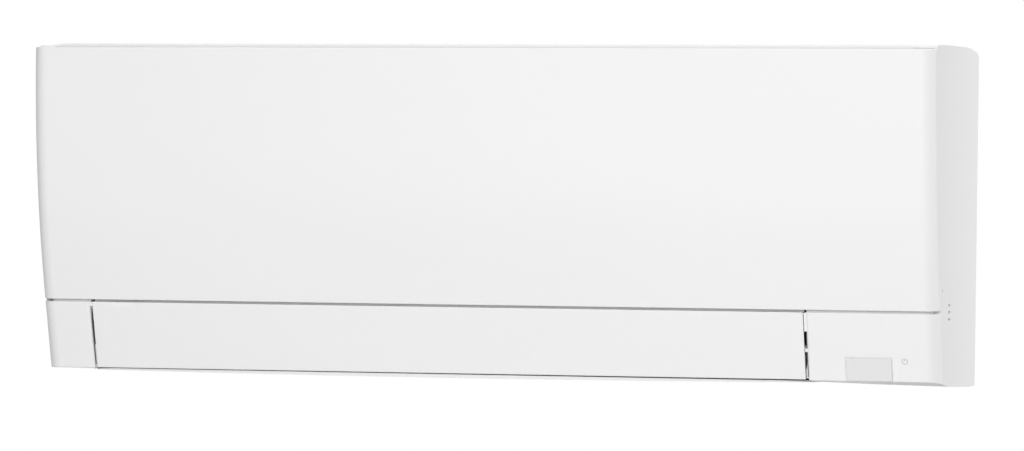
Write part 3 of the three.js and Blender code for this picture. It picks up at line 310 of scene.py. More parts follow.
def linked(name: str, mesh: bpy.types.Mesh, shading: Shading) -> bpy.types.Object:
    """Puts a mesh in the scene with its shading set.

    Args:
        name: The piece's name.
        mesh: Its finished mesh.
        shading: How its faces meet.

    Returns:
        The new object.
    """
    mesh.shade_smooth()
    mesh.set_sharp_from_angle(angle=math.radians(shading.value))
    piece = bpy.data.objects.new(name, mesh)
    bpy.context.scene.collection.objects.link(piece)
    return piece


def thicken(piece: bpy.types.Object, wall: float) -> None:
    """Gives an open sheet a wall of that many millimetres on its inner side."""
    made = piece.modifiers.new("wall", "SOLIDIFY")
    made.thickness = wall / 1000.0
    made.offset = -1.0


def soften(piece: bpy.types.Object, width: float, degrees: float = 40.0) -> None:
    """Rounds a piece's sharp edges, with two faces across each rounding.

    Args:
        piece: The piece.
        width: Rounding in millimetres.
        degrees: Edges that turn by less than this stay.
    """
    made = piece.modifiers.new("rounding", "BEVEL")
    made.width = width / 1000.0
    made.segments = 2
    made.limit_method = "ANGLE"
    made.angle_limit = math.radians(degrees)
    made.use_clamp_overlap = True
    made.harden_normals = True


@dataclass(frozen=True)
class CasingEase:
    """How far the casing's long edges leave the straight lines of an extrusion, in millimetres.

    The top falls over the last stretch on the left. The underside rises with the
    square of the distance from its middle, comes back down behind the right corner,
    and hangs a little lower along the right cheek. The lip under the vane stands a
    little higher, which narrows its seam.
    """

    fall: float = 2.9
    fall_x: float = -375.0
    fall_run: float = 24.0
    top_h: float = 16.0
    top_run: float = 6.0
    bow: float = 1.9
    bow_middle: float = -40.0
    bow_half: float = 320.0
    mouth_right: float = 285.0
    corner_x: float = 335.0
    floor_h: float = 287.5
    hang: float = 1.25
    cheek_x: float = 394.0
    hang_h: float = 284.0
    lowest: float = 299.8
    lip: float = 0.8
    lip_p: float = 182.0
    lip_x: tuple[float, float] = (-353.0, 284.0)
    lip_h: float = 287.4
    lip_reach: float = 0.7
    cuts_x: tuple[tuple[float, float, int], ...] = ((-375.0, -393.0, 4), (-340.0, 260.0, 11),
                                                    (310.0, 335.0, 2))
    cuts_p: tuple[float, float] = (160.0, 52.0)

    def cut(self, work: bmesh.types.BMesh) -> None:
        """Cuts the mesh across, so that its long faces can bend."""
        across = np.concatenate([np.linspace(*run) for run in self.cuts_x])
        planes = [((x / 1000.0, 0.0, 0.0), (1.0, 0.0, 0.0)) for x in across]
        planes += [((0.0, -p / 1000.0, 0.0), (0.0, 1.0, 0.0)) for p in self.cuts_p]
        for place, way in planes:
            every = work.verts[:] + work.edges[:] + work.faces[:]
            bmesh.ops.bisect_plane(work, geom=every, dist=1e-6, plane_co=place, plane_no=way)

    def rise(self, x: float, p: float, h: float) -> float:
        """How far a point goes up.

        Args:
            x: Millimetres to the viewer's right.
            p: Millimetres out from the wall.
            h: Millimetres down from the top.

        Returns:
            The rise in millimetres, less than 0 where the point goes down.
        """
        fall = self.fall * fade(x, self.fall_x, self.fall_run) ** 0.9 * fade(h, self.top_h, self.top_run)
        from_middle = (min(x, self.mouth_right) - self.bow_middle) / self.bow_half
        bow = self.bow * from_middle**2 * fade(x, self.corner_x, self.corner_x - self.mouth_right)
        hang = self.hang * fade(p, 190.0, 30.0) * ramp(p, 12.0, 40.0) * (x > self.cheek_x)
        hang = min(hang * ramp(h, self.hang_h, 2.0), max(0.0, self.lowest - h))
        over_lip = p > self.lip_p and self.lip_x[0] < x < self.lip_x[1]
        lip = self.lip * over_lip * np.clip(1 - abs(h - self.lip_h) / self.lip_reach, 0, 1)
        return float(lip + bow * ramp(h, self.floor_h, 2.0) - hang - fall)

    def move(self, work: bmesh.types.BMesh) -> None:
        """Moves every point of the mesh up by its rise."""
        for point in work.verts:
            x, p, h = 1000 * point.co.x, -1000 * point.co.y, HALF_HEIGHT - 1000 * point.co.z
            point.co.z += self.rise(x, p, h) / 1000.0


EASE = CasingEase()


def merged_copy(node: str, name: str, rounding: float) -> bpy.types.Object:
    """Copies a frame node's mesh, merges its loose triangles and rounds its edges.

    The casing is eased on the way, and the screws in its floor go with it.

    Args:
        node: The frame node.
        name: The new piece's name.
        rounding: Edge rounding in millimetres, or 0 for none.

    Returns:
        The new piece, which stands for the node.
    """
    mesh = frame["nodes"][node].data.copy()
    work = bmesh.new()
    work.from_mesh(mesh)
    bmesh.ops.remove_doubles(work, verts=work.verts, dist=3e-6)
    bmesh.ops.dissolve_limit(work, angle_limit=math.radians(0.6), verts=work.verts, edges=work.edges)
    if node == "front_casing":
        EASE.cut(work)
    if node.startswith(("front_casing", "casing_screw")):
        EASE.move(work)
    work.to_mesh(mesh)
    work.free()
    mesh.materials.clear()
    piece = linked(name, mesh, Shading.CRISP)
    if rounding:
        soften(piece, rounding)
    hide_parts(node)
    return piece


def body_of_node(node: str) -> str:
    """Name of the body that carries a frame node."""
    return frame["nodes"][node]["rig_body"]


# ------------------------------------------------------------------ shader sums
class Value:
    """A shader socket that takes part in plain sums."""

    def __init__(self, graph: "Graph", socket: Any) -> None:
        """Wraps one output socket of a graph."""
        self.graph = graph
        self.socket = socket

    def _sum(self, operation: str, *terms: Any) -> "Value":
        """Adds one Math node on this value and others."""
        return self.graph.node("ShaderNodeMath", {"operation": operation}, dict(enumerate(terms)))

    def __add__(self, other: Any) -> "Value":
        """This value plus another."""
        return self._sum("ADD", self, other)

    def __radd__(self, other: Any) -> "Value":
        """Another value plus this one."""
        return self._sum("ADD", other, self)

    def __sub__(self, other: Any) -> "Value":
        """This value less another."""
        return self._sum("SUBTRACT", self, other)

    def __rsub__(self, other: Any) -> "Value":
        """Another value less this one."""
        return self._sum("SUBTRACT", other, self)

    def __mul__(self, other: Any) -> "Value":
        """This value times another."""
        return self._sum("MULTIPLY", self, other)

    def __abs__(self) -> "Value":
        """This value without its sign."""
        return self._sum("ABSOLUTE", self)

    def above(self, edge: float) -> "Value":
        """1 where this value is more than the edge, else 0."""
        return self._sum("GREATER_THAN", self, edge)

    def sine(self) -> "Value":
        """Sine of this value."""
        return self._sum("SINE", self)

    def fraction(self) -> "Value":
        """What is left of this value after its whole part."""
        return self._sum("FRACT", self)

    def most(self, other: Any) -> "Value":
        """The larger of this value and another."""
        return self._sum("MAXIMUM", self, other)

    def least(self, other: Any) -> "Value":
        """The smaller of this value and another."""
        return self._sum("MINIMUM", self, other)


class Graph:
    """The nodes of one material or world."""

    def __init__(self, tree: bpy.types.NodeTree) -> None:
        """Empties a node tree, ready for new nodes."""
        self.tree = tree
        tree.nodes.clear()

    def node(self, kind: str, settings: dict[str, Any] | None = None,
             inputs: dict[Any, Any] | None = None, out: int | str = 0) -> Value:
        """Adds one node: its settings first, then its sockets' values or links.

        Args:
            kind: Blender's name of the node type.
            settings: Properties of the node.
            inputs: Socket name or number to a value or a link.
            out: The output socket that is handed back.

        Returns:
            The chosen output as a Value.
        """
        made = self.tree.nodes.new(kind)
        for key, value in (settings or {}).items():
            setattr(made, key, value)
        for key, value in (inputs or {}).items():
            socket = made.inputs[key]
            if isinstance(value, Value):
                self.tree.links.new(value.socket, socket)
            elif isinstance(value, tuple) and len(value) == 3 and socket.type == "RGBA":
                socket.default_value = (*value, 1.0)
            else:
                socket.default_value = value
        return Value(self, made.outputs[out]) if made.outputs else Value(self, None)

    def place(self) -> Value:
        """Object coordinates, in metres."""
        return self.node("ShaderNodeTexCoord", out="Object")

    def axes(self) -> tuple[Value, Value, Value]:
        """X, Y and Z of the object coordinates, in metres."""
        place = self.place()
        return tuple(self.node("ShaderNodeSeparateXYZ", inputs={0: place}, out=i) for i in range(3))

    def noise(self, size: float, detail: float = 2.0, stretch: Colour = (1.0, 1.0, 1.0)) -> Value:
        """Soft noise from 0 to 1 with marks of that size.

        Args:
            size: Size of a mark, in millimetres.
            detail: How many finer layers lie on it.
            stretch: Share of the frequency kept along X, Y and Z.

        Returns:
            The noise.
        """
        where = self.node("ShaderNodeVectorMath", {"operation": "MULTIPLY"},
                          {0: self.place(), 1: stretch})
        return self.node("ShaderNodeTexNoise", None,
                         {"Vector": where, "Scale": 1000.0 / size, "Detail": detail})

    def cells(self, size: float, feature: str = "F1", out: str = "Distance") -> Value:
        """Cell pattern with cells of about that many millimetres."""
        return self.node("ShaderNodeTexVoronoi", {"feature": feature},
                         {"Vector": self.place(), "Scale": 1000.0 / size}, out)

    def blend(self, share: Any, first: Any, second: Any) -> Value:
        """Mixes two colours by a share from 0 to 1."""
        return self.node("ShaderNodeMix", {"data_type": "RGBA"}, {0: share, 6: first, 7: second}, 2)

    def bump(self, height: Value, depth: float, under: Value | None = None) -> Value:
        """Bump of that many millimetres, on an optional bump below it."""
        inputs: dict[Any, Any] = {"Height": height, "Distance": depth / 1000.0, "Strength": 1.0}
        if under is not None:
            inputs["Normal"] = under
        return self.node("ShaderNodeBump", None, inputs)

    def surface(self, **sockets: Any) -> Value:
        """Adds the main shader with its sockets and joins it to the output.

        Args:
            **sockets: Socket names with _ for spaces, and their values or links.

        Returns:
            The shader.
        """
        shader = self.node("ShaderNodeBsdfPrincipled", None,
                           {key.replace("_", " "): value for key, value in sockets.items()})
        self.node("ShaderNodeOutputMaterial", None, {"Surface": shader})
        return shader


def new_material(name: str) -> tuple[bpy.types.Material, Graph]:
    """Starts a node material."""
    made = bpy.data.materials.new(name)
    made.use_nodes = True
    return made, Graph(made.node_tree)


def shaded(colour: Colour, by: float) -> Colour:
    """A colour made lighter or darker by a factor."""
    return tuple(min(1.0, c * by) for c in colour)


# ------------------------------------------------------------------ finishes
@dataclass(frozen=True)
class MouldedPlastic:
    """Injection moulded plastic: faint flow mottling, fine grain, slow waviness."""

    name: str
    colour: Colour
    roughness: float
    grain: float = 0.5
    grain_depth: float = 0.004
    mottle: float = 0.012
    wave_depth: float = 0.02
    coat: float = 0.0

    def material(self) -> bpy.types.Material:
        """Base colour with long soft mottling, roughness that drifts, and grain on slow waves."""
        made, g = new_material(self.name)
        flow = g.noise(90.0, 3.0, (0.35, 1.0, 1.0))
        speck = g.noise(2.2, 2.0)
        shade = flow * 0.7 + speck * 0.3
        dark, light = (shaded(self.colour, 1 + way * self.mottle) for way in (-1, 1))
        colour = g.blend(shade, dark, light)
        waves = g.bump(g.noise(38.0, 0.0), self.wave_depth)
        grain = g.bump(g.noise(self.grain, 2.0), self.grain_depth, waves)
        g.surface(Base_Color=colour, Roughness=self.roughness + (flow - 0.5) * 0.08, Normal=grain,
                  Coat_Weight=self.coat, Coat_Roughness=0.12, IOR=1.49)
        return made


@dataclass(frozen=True)
class SheetSteel:
    """Zinc coated sheet: crystal spangle, drawn scratches."""

    name: str
    colour: Colour = (0.52, 0.53, 0.54)
    spangle: float = 7.0

    def material(self) -> bpy.types.Material:
        """Each crystal has its own shade and gloss, with thin scratches over all."""
        made, g = new_material(self.name)
        crystal = g.node("ShaderNodeSeparateColor", None, {0: g.cells(self.spangle, out="Color")})
        scratch = g.noise(1.2, 3.0, (0.05, 1.0, 1.0))
        colour = g.blend(crystal, shaded(self.colour, 0.82), shaded(self.colour, 1.18))
        g.surface(Base_Color=colour, Metallic=0.9, Roughness=0.3 + crystal * 0.16 + scratch * 0.1,
                  Normal=g.bump(crystal + scratch * 0.5, 0.02))
        return made


@dataclass(frozen=True)
class FinStack:
    """Aluminium fins side by side, with pressed ridges."""

    name: str
    pitch: float = 1.4
    colour: Colour = (0.62, 0.65, 0.67)

    def material(self) -> bpy.types.Material:
        """Thin bright fin edges along X, with painted shade in the gaps between them, bent a little here and
        there.
        """
        made, g = new_material(self.name)
        x, _, z = g.axes()
        bend = g.noise(30.0, 2.0) * 0.0006
        comb = ((x + bend) * (2 * math.pi * 1000.0 / self.pitch)).sine()
        edge = comb * 0.5 + 0.5
        ridge = (z * (2 * math.pi * 1000.0 / 12.0)).sine() * 0.5 + 0.5
        # painted shade: the gaps between fins are darkened to 0.22 of the fin colour, standing in for the
        # shade between them
        colour = g.blend(edge, shaded(self.colour, 0.22), self.colour)
        g.surface(Base_Color=colour, Metallic=0.85, Roughness=0.52 - edge * 0.16,
                  Normal=g.bump(edge + ridge * 0.15, 0.35))
        return made


@dataclass(frozen=True)
class CopperPipe:
    """Drawn copper with dull tarnish."""

    name: str
    colour: Colour = (0.72, 0.36, 0.22)

    def material(self) -> bpy.types.Material:
        """Bright copper with brown patches and long drawing lines."""
        made, g = new_material(self.name)
        patch = g.noise(14.0, 4.0)
        line = g.noise(0.8, 2.0, (0.1, 1.0, 1.0))
        dull = ((patch - 0.45) * 4.0).most(0.0).least(1.0)
        colour = g.blend(dull, self.colour, (0.30, 0.13, 0.08))
        g.surface(Base_Color=colour, Metallic=1.0 - dull * 0.3, Roughness=0.24 + dull * 0.28,
                  Normal=g.bump(line, 0.01))
        return made


@dataclass(frozen=True)
class Rubber:
    """Moulded rubber with a dusty bloom."""

    name: str
    colour: Colour = (0.02, 0.02, 0.021)

    def material(self) -> bpy.types.Material:
        """Near black, paler where bloom lies, with a coarse grain."""
        made, g = new_material(self.name)
        bloom = g.noise(9.0, 5.0)
        g.surface(Base_Color=g.blend(bloom, self.colour, (0.06, 0.06, 0.062)),
                  Roughness=0.72 + bloom * 0.15, Normal=g.bump(g.noise(0.6), 0.02))
        return made


@dataclass(frozen=True)
class CircuitBoard:
    """Lacquered board with copper tracks and solder dots."""

    name: str
    colour: Colour = (0.02, 0.13, 0.06)

    def material(self) -> bpy.types.Material:
        """Tracks follow cell borders, and solder sits at cell centres."""
        made, g = new_material(self.name)
        border = g.cells(4.5, "DISTANCE_TO_EDGE")
        track = 1 - border.above(0.09)
        solder = 1 - g.cells(4.5).above(0.16)
        green = g.blend(track, self.colour, (0.05, 0.24, 0.11))
        g.surface(Base_Color=g.blend(solder, green, (0.6, 0.6, 0.58)), Metallic=solder * 0.8,
                  Roughness=0.35 + solder * 0.1, Normal=g.bump(track + solder * 2.0, 0.04))
        return made


@dataclass(frozen=True)
class NetSheet:
    """Moulded filter net: square holes between thin threads."""

    name: str
    pitch: float = 1.6
    thread: float = 0.34
    colour: Colour = (0.36, 0.44, 0.50)

    def material(self) -> bpy.types.Material:
        """Threads every pitch along X and down the face; the holes between them let light through."""
        made, g = new_material(self.name)
        x, _, z = g.axes()
        across = abs((x * (1000.0 / self.pitch)).fraction() - 0.5)
        down = abs((z * (1000.0 / self.pitch)).fraction() - 0.5)
        thread = across.most(down).above(0.5 - self.thread / 2)
        dust = g.noise(12.0, 4.0)
        colour = g.blend(dust, shaded(self.colour, 0.9), shaded(self.colour, 1.12))
        g.surface(Base_Color=colour, Roughness=0.62 + dust * 0.1, Alpha=thread * 0.94 + 0.06,
                  Normal=g.bump(across.most(down), 0.2))
        return made


@dataclass(frozen=True)
class Pane:
    """Pale glossy plastic with a smooth skin."""

    name: str
    colour: Colour

    def material(self) -> bpy.types.Material:
        """Glossy pane whose shade drifts a little over its face."""
        made, g = new_material(self.name)
        drift = g.noise(22.0, 1.0)
        g.surface(Base_Color=g.blend(drift, shaded(self.colour, 0.985), shaded(self.colour, 1.015)),
                  Roughness=0.14 + drift * 0.05, Coat_Weight=0.3, Coat_Roughness=0.05,
                  Normal=g.bump(g.noise(16.0, 0.0), 0.006))
        return made


MADE: dict[str, bpy.types.Material] = {}


class Finish(Enum):
    """Every finish of the unit, each with its record slot."""

    WHITE_GLOSS = ("white_gloss",
                   MouldedPlastic("white_gloss_look", (0.862, 0.862, 0.864), 0.30, coat=0.25))
    WHITE_SATIN = ("white_satin",
                   MouldedPlastic("white_satin_look", (0.848, 0.848, 0.85), 0.44, grain_depth=0.01))
    WHITE_INNER = ("white_inner",
                   MouldedPlastic("white_inner_look", (0.70, 0.70, 0.68), 0.55, mottle=0.03))
    GREY_INNER = ("grey_inner",
                  MouldedPlastic("grey_inner_look", (0.10, 0.105, 0.11), 0.6, mottle=0.06))
    BLACK_PLASTIC = ("black_plastic",
                     MouldedPlastic("black_plastic_look", (0.022, 0.023, 0.025), 0.5, mottle=0.1))
    RUBBER = ("rubber", Rubber("rubber_look"))
    FINS = ("aluminium_fins", FinStack("aluminium_fins_look"))
    STEEL = ("galvanised_steel", SheetSteel("galvanised_steel_look"))
    COPPER = ("copper_tube", CopperPipe("copper_tube_look"))
    BOARD = ("board", CircuitBoard("board_look"))
    NET = ("filter_net", NetSheet("filter_net_look"))
    PANE = ("tinted_window", Pane("tinted_window_look", (0.765, 0.765, 0.765)))
    MARK = ("white_satin", MouldedPlastic("mark_grey_look", (0.66, 0.66, 0.665), 0.5))

    def dress(self, piece: bpy.types.Object) -> None:
        """Gives a piece this finish."""
        slot, recipe = self.value
        if recipe.name not in MADE:
            MADE[recipe.name] = recipe.material()
        piece.data.materials.clear()
        piece.data.materials.append(MADE[recipe.name])


# ------------------------------------------------------------------ front panel
@dataclass
class FrontPanel:
    """The bowed panel that swings up on two pins at its top corners."""

    top: float = 3.4
    end: float = 225.0
    wall: float = 2.4
    lip: float = 0.9
    top_return: float = 10.2
    foot: float = 2.5
    notch_h: float = 5.6
    notch_e: float = 10.4
    rib_x: tuple[float, ...] = (-280.0, -93.0, 93.0, 280.0)
    rib_wide: float = 1.8
    rib_deep: float = 6.5
    hinge: tuple[float, float] = (231.4, 5.2)
    hinge_x: float = 392.0
    arm_in: float = 8.0
    arm_wide: float = 2.8
    pin_radius: float = 1.6
    pieces: list[bpy.types.Object] = field(default_factory=list)

    def run(self) -> tuple[Array, Array]:
        """Inset and height of each row: along the top, round its lip, down, round the lower lip, back.

        Returns:
            The insets and the heights, in millimetres.
        """
        r = self.lip
        turn = np.radians(np.linspace(90, 0, 7))
        back = np.linspace(self.top_return, r + 0.2, 5)
        round_lip = r - r * np.cos(turn)
        face = np.concatenate([[self.top + r + 0.1, self.notch_h - 0.01, self.notch_h + 0.01],
                               np.linspace(9, self.end - 6, 41), [self.end - 3, self.end - r - 0.1]])
        inset = np.concatenate([back, round_lip, np.zeros(len(face)), round_lip[::-1], [self.foot]])
        height = np.concatenate([np.full(len(back), self.top), self.top + r - r * np.sin(turn), face,
                                 self.end - r + r * np.sin(turn)[::-1], [self.end]])
        return inset, height

    def skin(self) -> bpy.types.Object:
        """Plan outline with two quarter circles, carried down the bowed front and inset at both lips.

        Above the notch's height the outline stops part way round each corner.

        Returns:
            The skin.
        """
        inset, height = self.run()
        d, h = inset[:, None], height[:, None]
        notch = np.arccos(np.clip((FRONT.edge - self.notch_e) / (FRONT.edge - d), -1, 1))
        turn = np.linspace(0, 1, 20)[None] * np.where(h < self.notch_h, notch, math.pi / 2)
        flat = FRONT.half_width - FRONT.edge
        xs = np.concatenate([[-flat + 0.6, -flat + 3], np.linspace(-flat + 12, flat - 12, 41),
                             [flat - 3, flat - 0.6]])
        face = (len(height), len(xs))
        lx, le = FRONT.arc(-1, d, turn[:, ::-1])
        rx, re = FRONT.arc(1, d, turn)
        x = np.concatenate([lx, np.broadcast_to(xs, face), rx], axis=1)
        e = np.concatenate([le, np.broadcast_to(d, face), re], axis=1)
        piece = Surface("front_panel_skin").grid(row(x, FRONT.out(h) - e, h), flip=True).build()
        thicken(piece, self.wall)
        soften(piece, 0.35, 50.0)
        return piece

    def stiffeners(self) -> bpy.types.Object:
        """Upright ribs that follow the inside of the skin."""
        made = Surface("front_panel_ribs")
        ring = skin_band(np.linspace(self.top + 2.6, self.end - 2.6, 30), self.wall - 0.3, self.rib_deep)
        for x in self.rib_x:
            made.bar(ring, x, x + self.rib_wide)
        piece = made.build(Shading.CRISP)
        soften(piece, 0.25)
        return piece

    def arms(self) -> bpy.types.Object:
        """Two hinge arms, each with its pin."""
        p, h = self.hinge
        ring = np.array([[p - 2.4, h - 1.6], [p + 5, h - 1.2], [p + 10.6, self.top + 1.4],
                         [p + 10.6, self.top + 9], [p - 1, h + 3], [p - 2.6, h + 1.4]])
        made = Surface("front_panel_arms")
        for side in (-1, 1):
            x = side * (self.hinge_x - self.arm_in)
            made.bar(ring, x - self.arm_wide / 2, x + self.arm_wide / 2)
            made.tube(row(np.array([x, side * self.hinge_x]), p, h), np.full(2, self.pin_radius / 1000.0))
        return made.build(Shading.CRISP)

    def build(self) -> None:
        """Makes the panel's pieces."""
        skin = self.skin()
        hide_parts("front_panel")
        self.pieces = [skin, self.stiffeners(), self.arms()]

    def dress(self) -> None:
        """Gives the panel its white gloss."""
        for piece in self.pieces:
            Finish.WHITE_GLOSS.dress(piece)
            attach(piece, "panel")


# ------------------------------------------------------------------ lower corners
TURN_STEPS = 6      # rows or columns round a small turn
REBATE_ROWS = 2     # rows of a cover's skin that lie on its sunk rebate


@dataclass
class CornerCover:
    """A lower corner with the side wall of the outlet mouth."""

    side: int
    inner: float
    window: Opening | None = None
    top: float = 227.1
    rebate: float = 5.2
    rebate_top: float = 223.4
    rows: tuple[float, ...] = (230.0, 240.0, 250.0, 258.0, 264.0, WINDOW.high, 270.0, 277.0, WINDOW.low - 0.8,
                               WINDOW.low)
    wall: float = 1.9
    deep: float = 22.0
    corner: float = 2.6
    lip: float = 0.7
    low: float = 285.8
    slope: float = 0.2296
    inner_slope: float = 0.09
    slope_run: float = 60.0
    open_from: float = 90.0
    cheek_slope: float = 0.0654
    stops: tuple[tuple[float, float], ...] = ()
    pieces: list[bpy.types.Object] = field(default_factory=list)

    @property
    def hand(self) -> str:
        """The side's word in the names of its pieces."""
        return "right" if self.side > 0 else "left"

    @property
    def turn(self) -> Array:
        """Angles of the columns round the outer corner, from the side to the front, as a row."""
        return np.radians(np.linspace(90, 0, 18))[None]

    def low_edge(self, x: Array, e: Array) -> Array:
        """Height of the lower edge: it drops with the setback, less near the mouth and behind the corner."""
        bend = FRONT.edge + 0.3
        slope = self.inner_slope + (self.slope - self.inner_slope) * ramp(x, self.inner, self.slope_run)
        return self.low + slope * (np.minimum(e, bend) + 0.2) + self.cheek_slope * np.maximum(e - bend, 0.0)

    def columns(self) -> Array:
        """x of the columns on the flat face, from the outer rounding to the mouth."""
        flat = FRONT.half_width - FRONT.edge
        stops = [flat - 0.6, flat - 3]
        if self.window:
            stops += [self.window.right, self.window.right - 0.6, self.window.left + 0.6, self.window.left]
        stops += list(np.linspace(flat - 9, self.inner + 5, 9)) + [self.inner + self.corner + 0.5]
        return np.array(sorted(set(np.round(stops, 3)), reverse=True))

    def plan(self, inset: Array, sunk: Array) -> tuple[Array, Array]:
        """Plan outline of each row: round the outer corner, along the face, round the mouth's corner, in.

        Args:
            inset: Millimetres that each row lies inside the skin, as a column.
            sunk: Millimetres that each row is set back for the rebate, as a column.

        Returns:
            x and e of the points.
        """
        ax, ae = FRONT.arc(1, inset + sunk, self.turn)
        xs = self.columns()
        face = (len(inset), len(xs))
        near = np.minimum(inset, self.lip)
        small = self.corner - near
        bend = np.radians(np.linspace(0, 90, TURN_STEPS))[None]
        cx = self.inner + near + small - small * np.sin(bend)
        ce = np.maximum(near + small - small * np.cos(bend), inset + sunk)
        back = np.maximum(np.array([[2.0, 5.0, 10.0, 15.0, self.deep]]), sunk)
        wall = np.broadcast_to(self.inner + near, back.shape)
        x = np.concatenate([ax, np.broadcast_to(xs, face), cx, wall], axis=1)
        return x, np.concatenate([ae, np.broadcast_to(inset + sunk, face), ce, back], axis=1)

    def solid_cells(self, x: Array, h: Array, upright: int) -> Array:
        """Which cells of the skin are solid.

        The rebate stops part way round the corner, the face is open at the window, and
        the part turned under doesn't go on along the mouth's side wall.

        Args:
            x: x of the points.
            h: Heights of the points.
            upright: How many rows lie above the lower edge.

        Returns:
            Rows and columns of cells, True where solid.
        """
        face = self.turn.size + len(self.columns())
        keep = np.ones((len(x) - 1, x.shape[1] - 1), bool)
        keep[upright + TURN_STEPS:, face + TURN_STEPS - 1:] = False
        turn = np.degrees(self.turn[:, :-1] + self.turn[:, 1:]) / 2
        keep[:REBATE_ROWS, :turn.size] &= turn < self.open_from
        if self.window:
            mid_x = (x[0, :-1] + x[0, 1:]) / 2
            mid_h = (h[:-1, 0] + h[1:, 0]) / 2
            inside = (mid_x > self.window.left) & (mid_x < self.window.right)
            inside &= np.arange(len(inside)) < face
            keep[np.ix_((mid_h > self.window.high) & (mid_h < self.window.low), inside)] = False
        return keep

    def skin(self) -> bpy.types.Object:
        """Plan outline carried down to the sloping lower edge and turned under."""
        r = self.lip
        tuck = np.radians(np.linspace(0, 90, TURN_STEPS))
        upright = np.array([self.rebate_top, self.top, self.top, self.top + 0.8, *self.rows])
        count = len(upright)
        under = np.linspace(r + 0.3, FRONT.edge - 0.3, TURN_STEPS)
        inset = np.concatenate([np.zeros(count + 1), r - r * np.cos(tuck), under])[:, None]
        sunk = np.where(np.arange(len(inset)) < REBATE_ROWS, self.rebate, 0.0)[:, None]
        x, e = self.plan(inset, sunk)
        low = self.low_edge(x, e)
        last = low[count:count + 1] - r - 0.05
        tucked = low[count + 1:count + 1 + TURN_STEPS] - r + r * np.sin(tuck)[:, None]
        h = np.concatenate([np.broadcast_to(upright[:, None], (count, x.shape[1])), last, tucked,
                            low[count + 1 + TURN_STEPS:]])
        keep = self.solid_cells(x, h, count)
        made = Surface(f"{self.hand}_cover_skin")
        piece = made.grid(row(self.side * x, FRONT.out(h) - e, h), flip=self.side < 0, keep=keep).build()
        thicken(piece, self.wall)
        soften(piece, 0.3, 50.0)
        return piece

    def ribs(self) -> bpy.types.Object:
        """Short ribs on the mouth's side wall, which narrow the slit beside the vane at their height."""
        made = Surface(f"{self.hand}_cover_ribs")
        for h0, h1 in self.stops:
            h = np.array([h0, h1, h1, h0])
            ring = np.stack([FRONT.out(h) - np.array([1.4, 1.4, 6.0, 6.0]), h], axis=1)
            made.bar(ring, *sorted((self.side * (self.inner - 2.0), self.side * (self.inner + 0.6))))
        piece = made.build(Shading.CRISP)
        soften(piece, 0.25)
        return piece

    def shade_plate(self) -> bpy.types.Object:
        """A thin dark plate on the mouth's side wall, set back behind the face: painted shade that darkens
        the slit beside the vane.
        """
        # painted shade: this dark plate stands in for the shade deep in the slit beside the vane
        ring = skin_band(np.linspace(233.0, 283.0, 12), 2.6, 19.0)
        made = Surface(f"{self.hand}_mouth_shade_plate")
        made.bar(ring, *sorted((self.side * (self.inner - 0.7), self.side * (self.inner + 0.2))))
        return made.build(Shading.CRISP)

    def build(self) -> None:
        """Makes the corner's shell, its ribs and its dark plate of painted shade."""
        skin = self.skin()
        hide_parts(f"{self.hand}_corner_cover")
        self.pieces = [skin, self.ribs(), self.shade_plate()]

    def dress(self) -> None:
        """White gloss, with a dark plate of painted shade in the mouth."""
        for piece, finish in zip(self.pieces, (Finish.WHITE_GLOSS, Finish.WHITE_GLOSS, Finish.GREY_INNER)):
            finish.dress(piece)
            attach(piece, "base")


@dataclass
class DisplayWindow:
    """The pale pane near the lower right, and the small power sign beside it."""

    opening: Opening = WINDOW
    gap: float = -0.15
    border: float = 0.5
    pane_wall: float = 2.4
    sign: tuple[float, float] = (368.9, 268.0)
    sign_r: float = 2.3
    line: float = 0.8
    sign_out: float = 0.02
    pieces: list[bpy.types.Object] = field(default_factory=list)

    def stations(self, start: float, end: float, count: int) -> Array:
        """Places across the pane: its edge, its border's rounding and even steps between."""
        edge, border = self.gap, self.border
        return np.concatenate([[start + edge, start + edge + border], np.linspace(start + 2, end - 2, count),
                               [end - edge - border, end - edge]])

    def pane(self) -> bpy.types.Object:
        """A sheet that follows the face, its border turned in by a small rounding."""
        u = self.stations(self.opening.left, self.opening.right, 11)
        v = self.stations(self.opening.high, self.opening.low, 7)
        x, h = np.meshgrid(u, v)
        near = np.minimum(np.minimum(x - u[0], u[-1] - x), np.minimum(h - v[0], v[-1] - h))
        e = 0.08 + 0.06 * (1 - ramp(near, 0.0, self.border)) ** 2
        piece = Surface("display_pane").grid(row(x, FRONT.out(h) - e, h)).build()
        thicken(piece, self.pane_wall)
        return piece

    def power_sign(self) -> bpy.types.Object:
        """An open ring with an upright bar in its gap, a thin line standing a hair above the face."""
        cx, ch = self.sign
        half = self.line / 2
        turn = np.radians(np.linspace(24, 336, 48))
        ring = np.array([self.sign_r - half, self.sign_r + half])
        x = cx + ring[:, None] * np.sin(turn)[None]
        h = ch - ring[:, None] * np.cos(turn)[None]
        made = Surface("power_sign").grid(row(x, FRONT.out(h) + self.sign_out, h), flip=True)
        bx, bh = np.meshgrid([cx - half, cx + half], [ch - self.sign_r - 0.3, ch - 0.3])
        piece = made.grid(row(bx, FRONT.out(bh) + self.sign_out, bh)).build()
        thicken(piece, 0.05)
        return piece

    def build(self) -> None:
        """Makes the pane and the sign."""
        pane = self.pane()
        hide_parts("display_window")
        self.pieces = [pane, self.power_sign()]

    def dress(self) -> None:
        """Pale pane, grey sign."""
        Finish.PANE.dress(self.pieces[0])
        Finish.MARK.dress(self.pieces[1])
        for piece in self.pieces:
            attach(piece, "base")


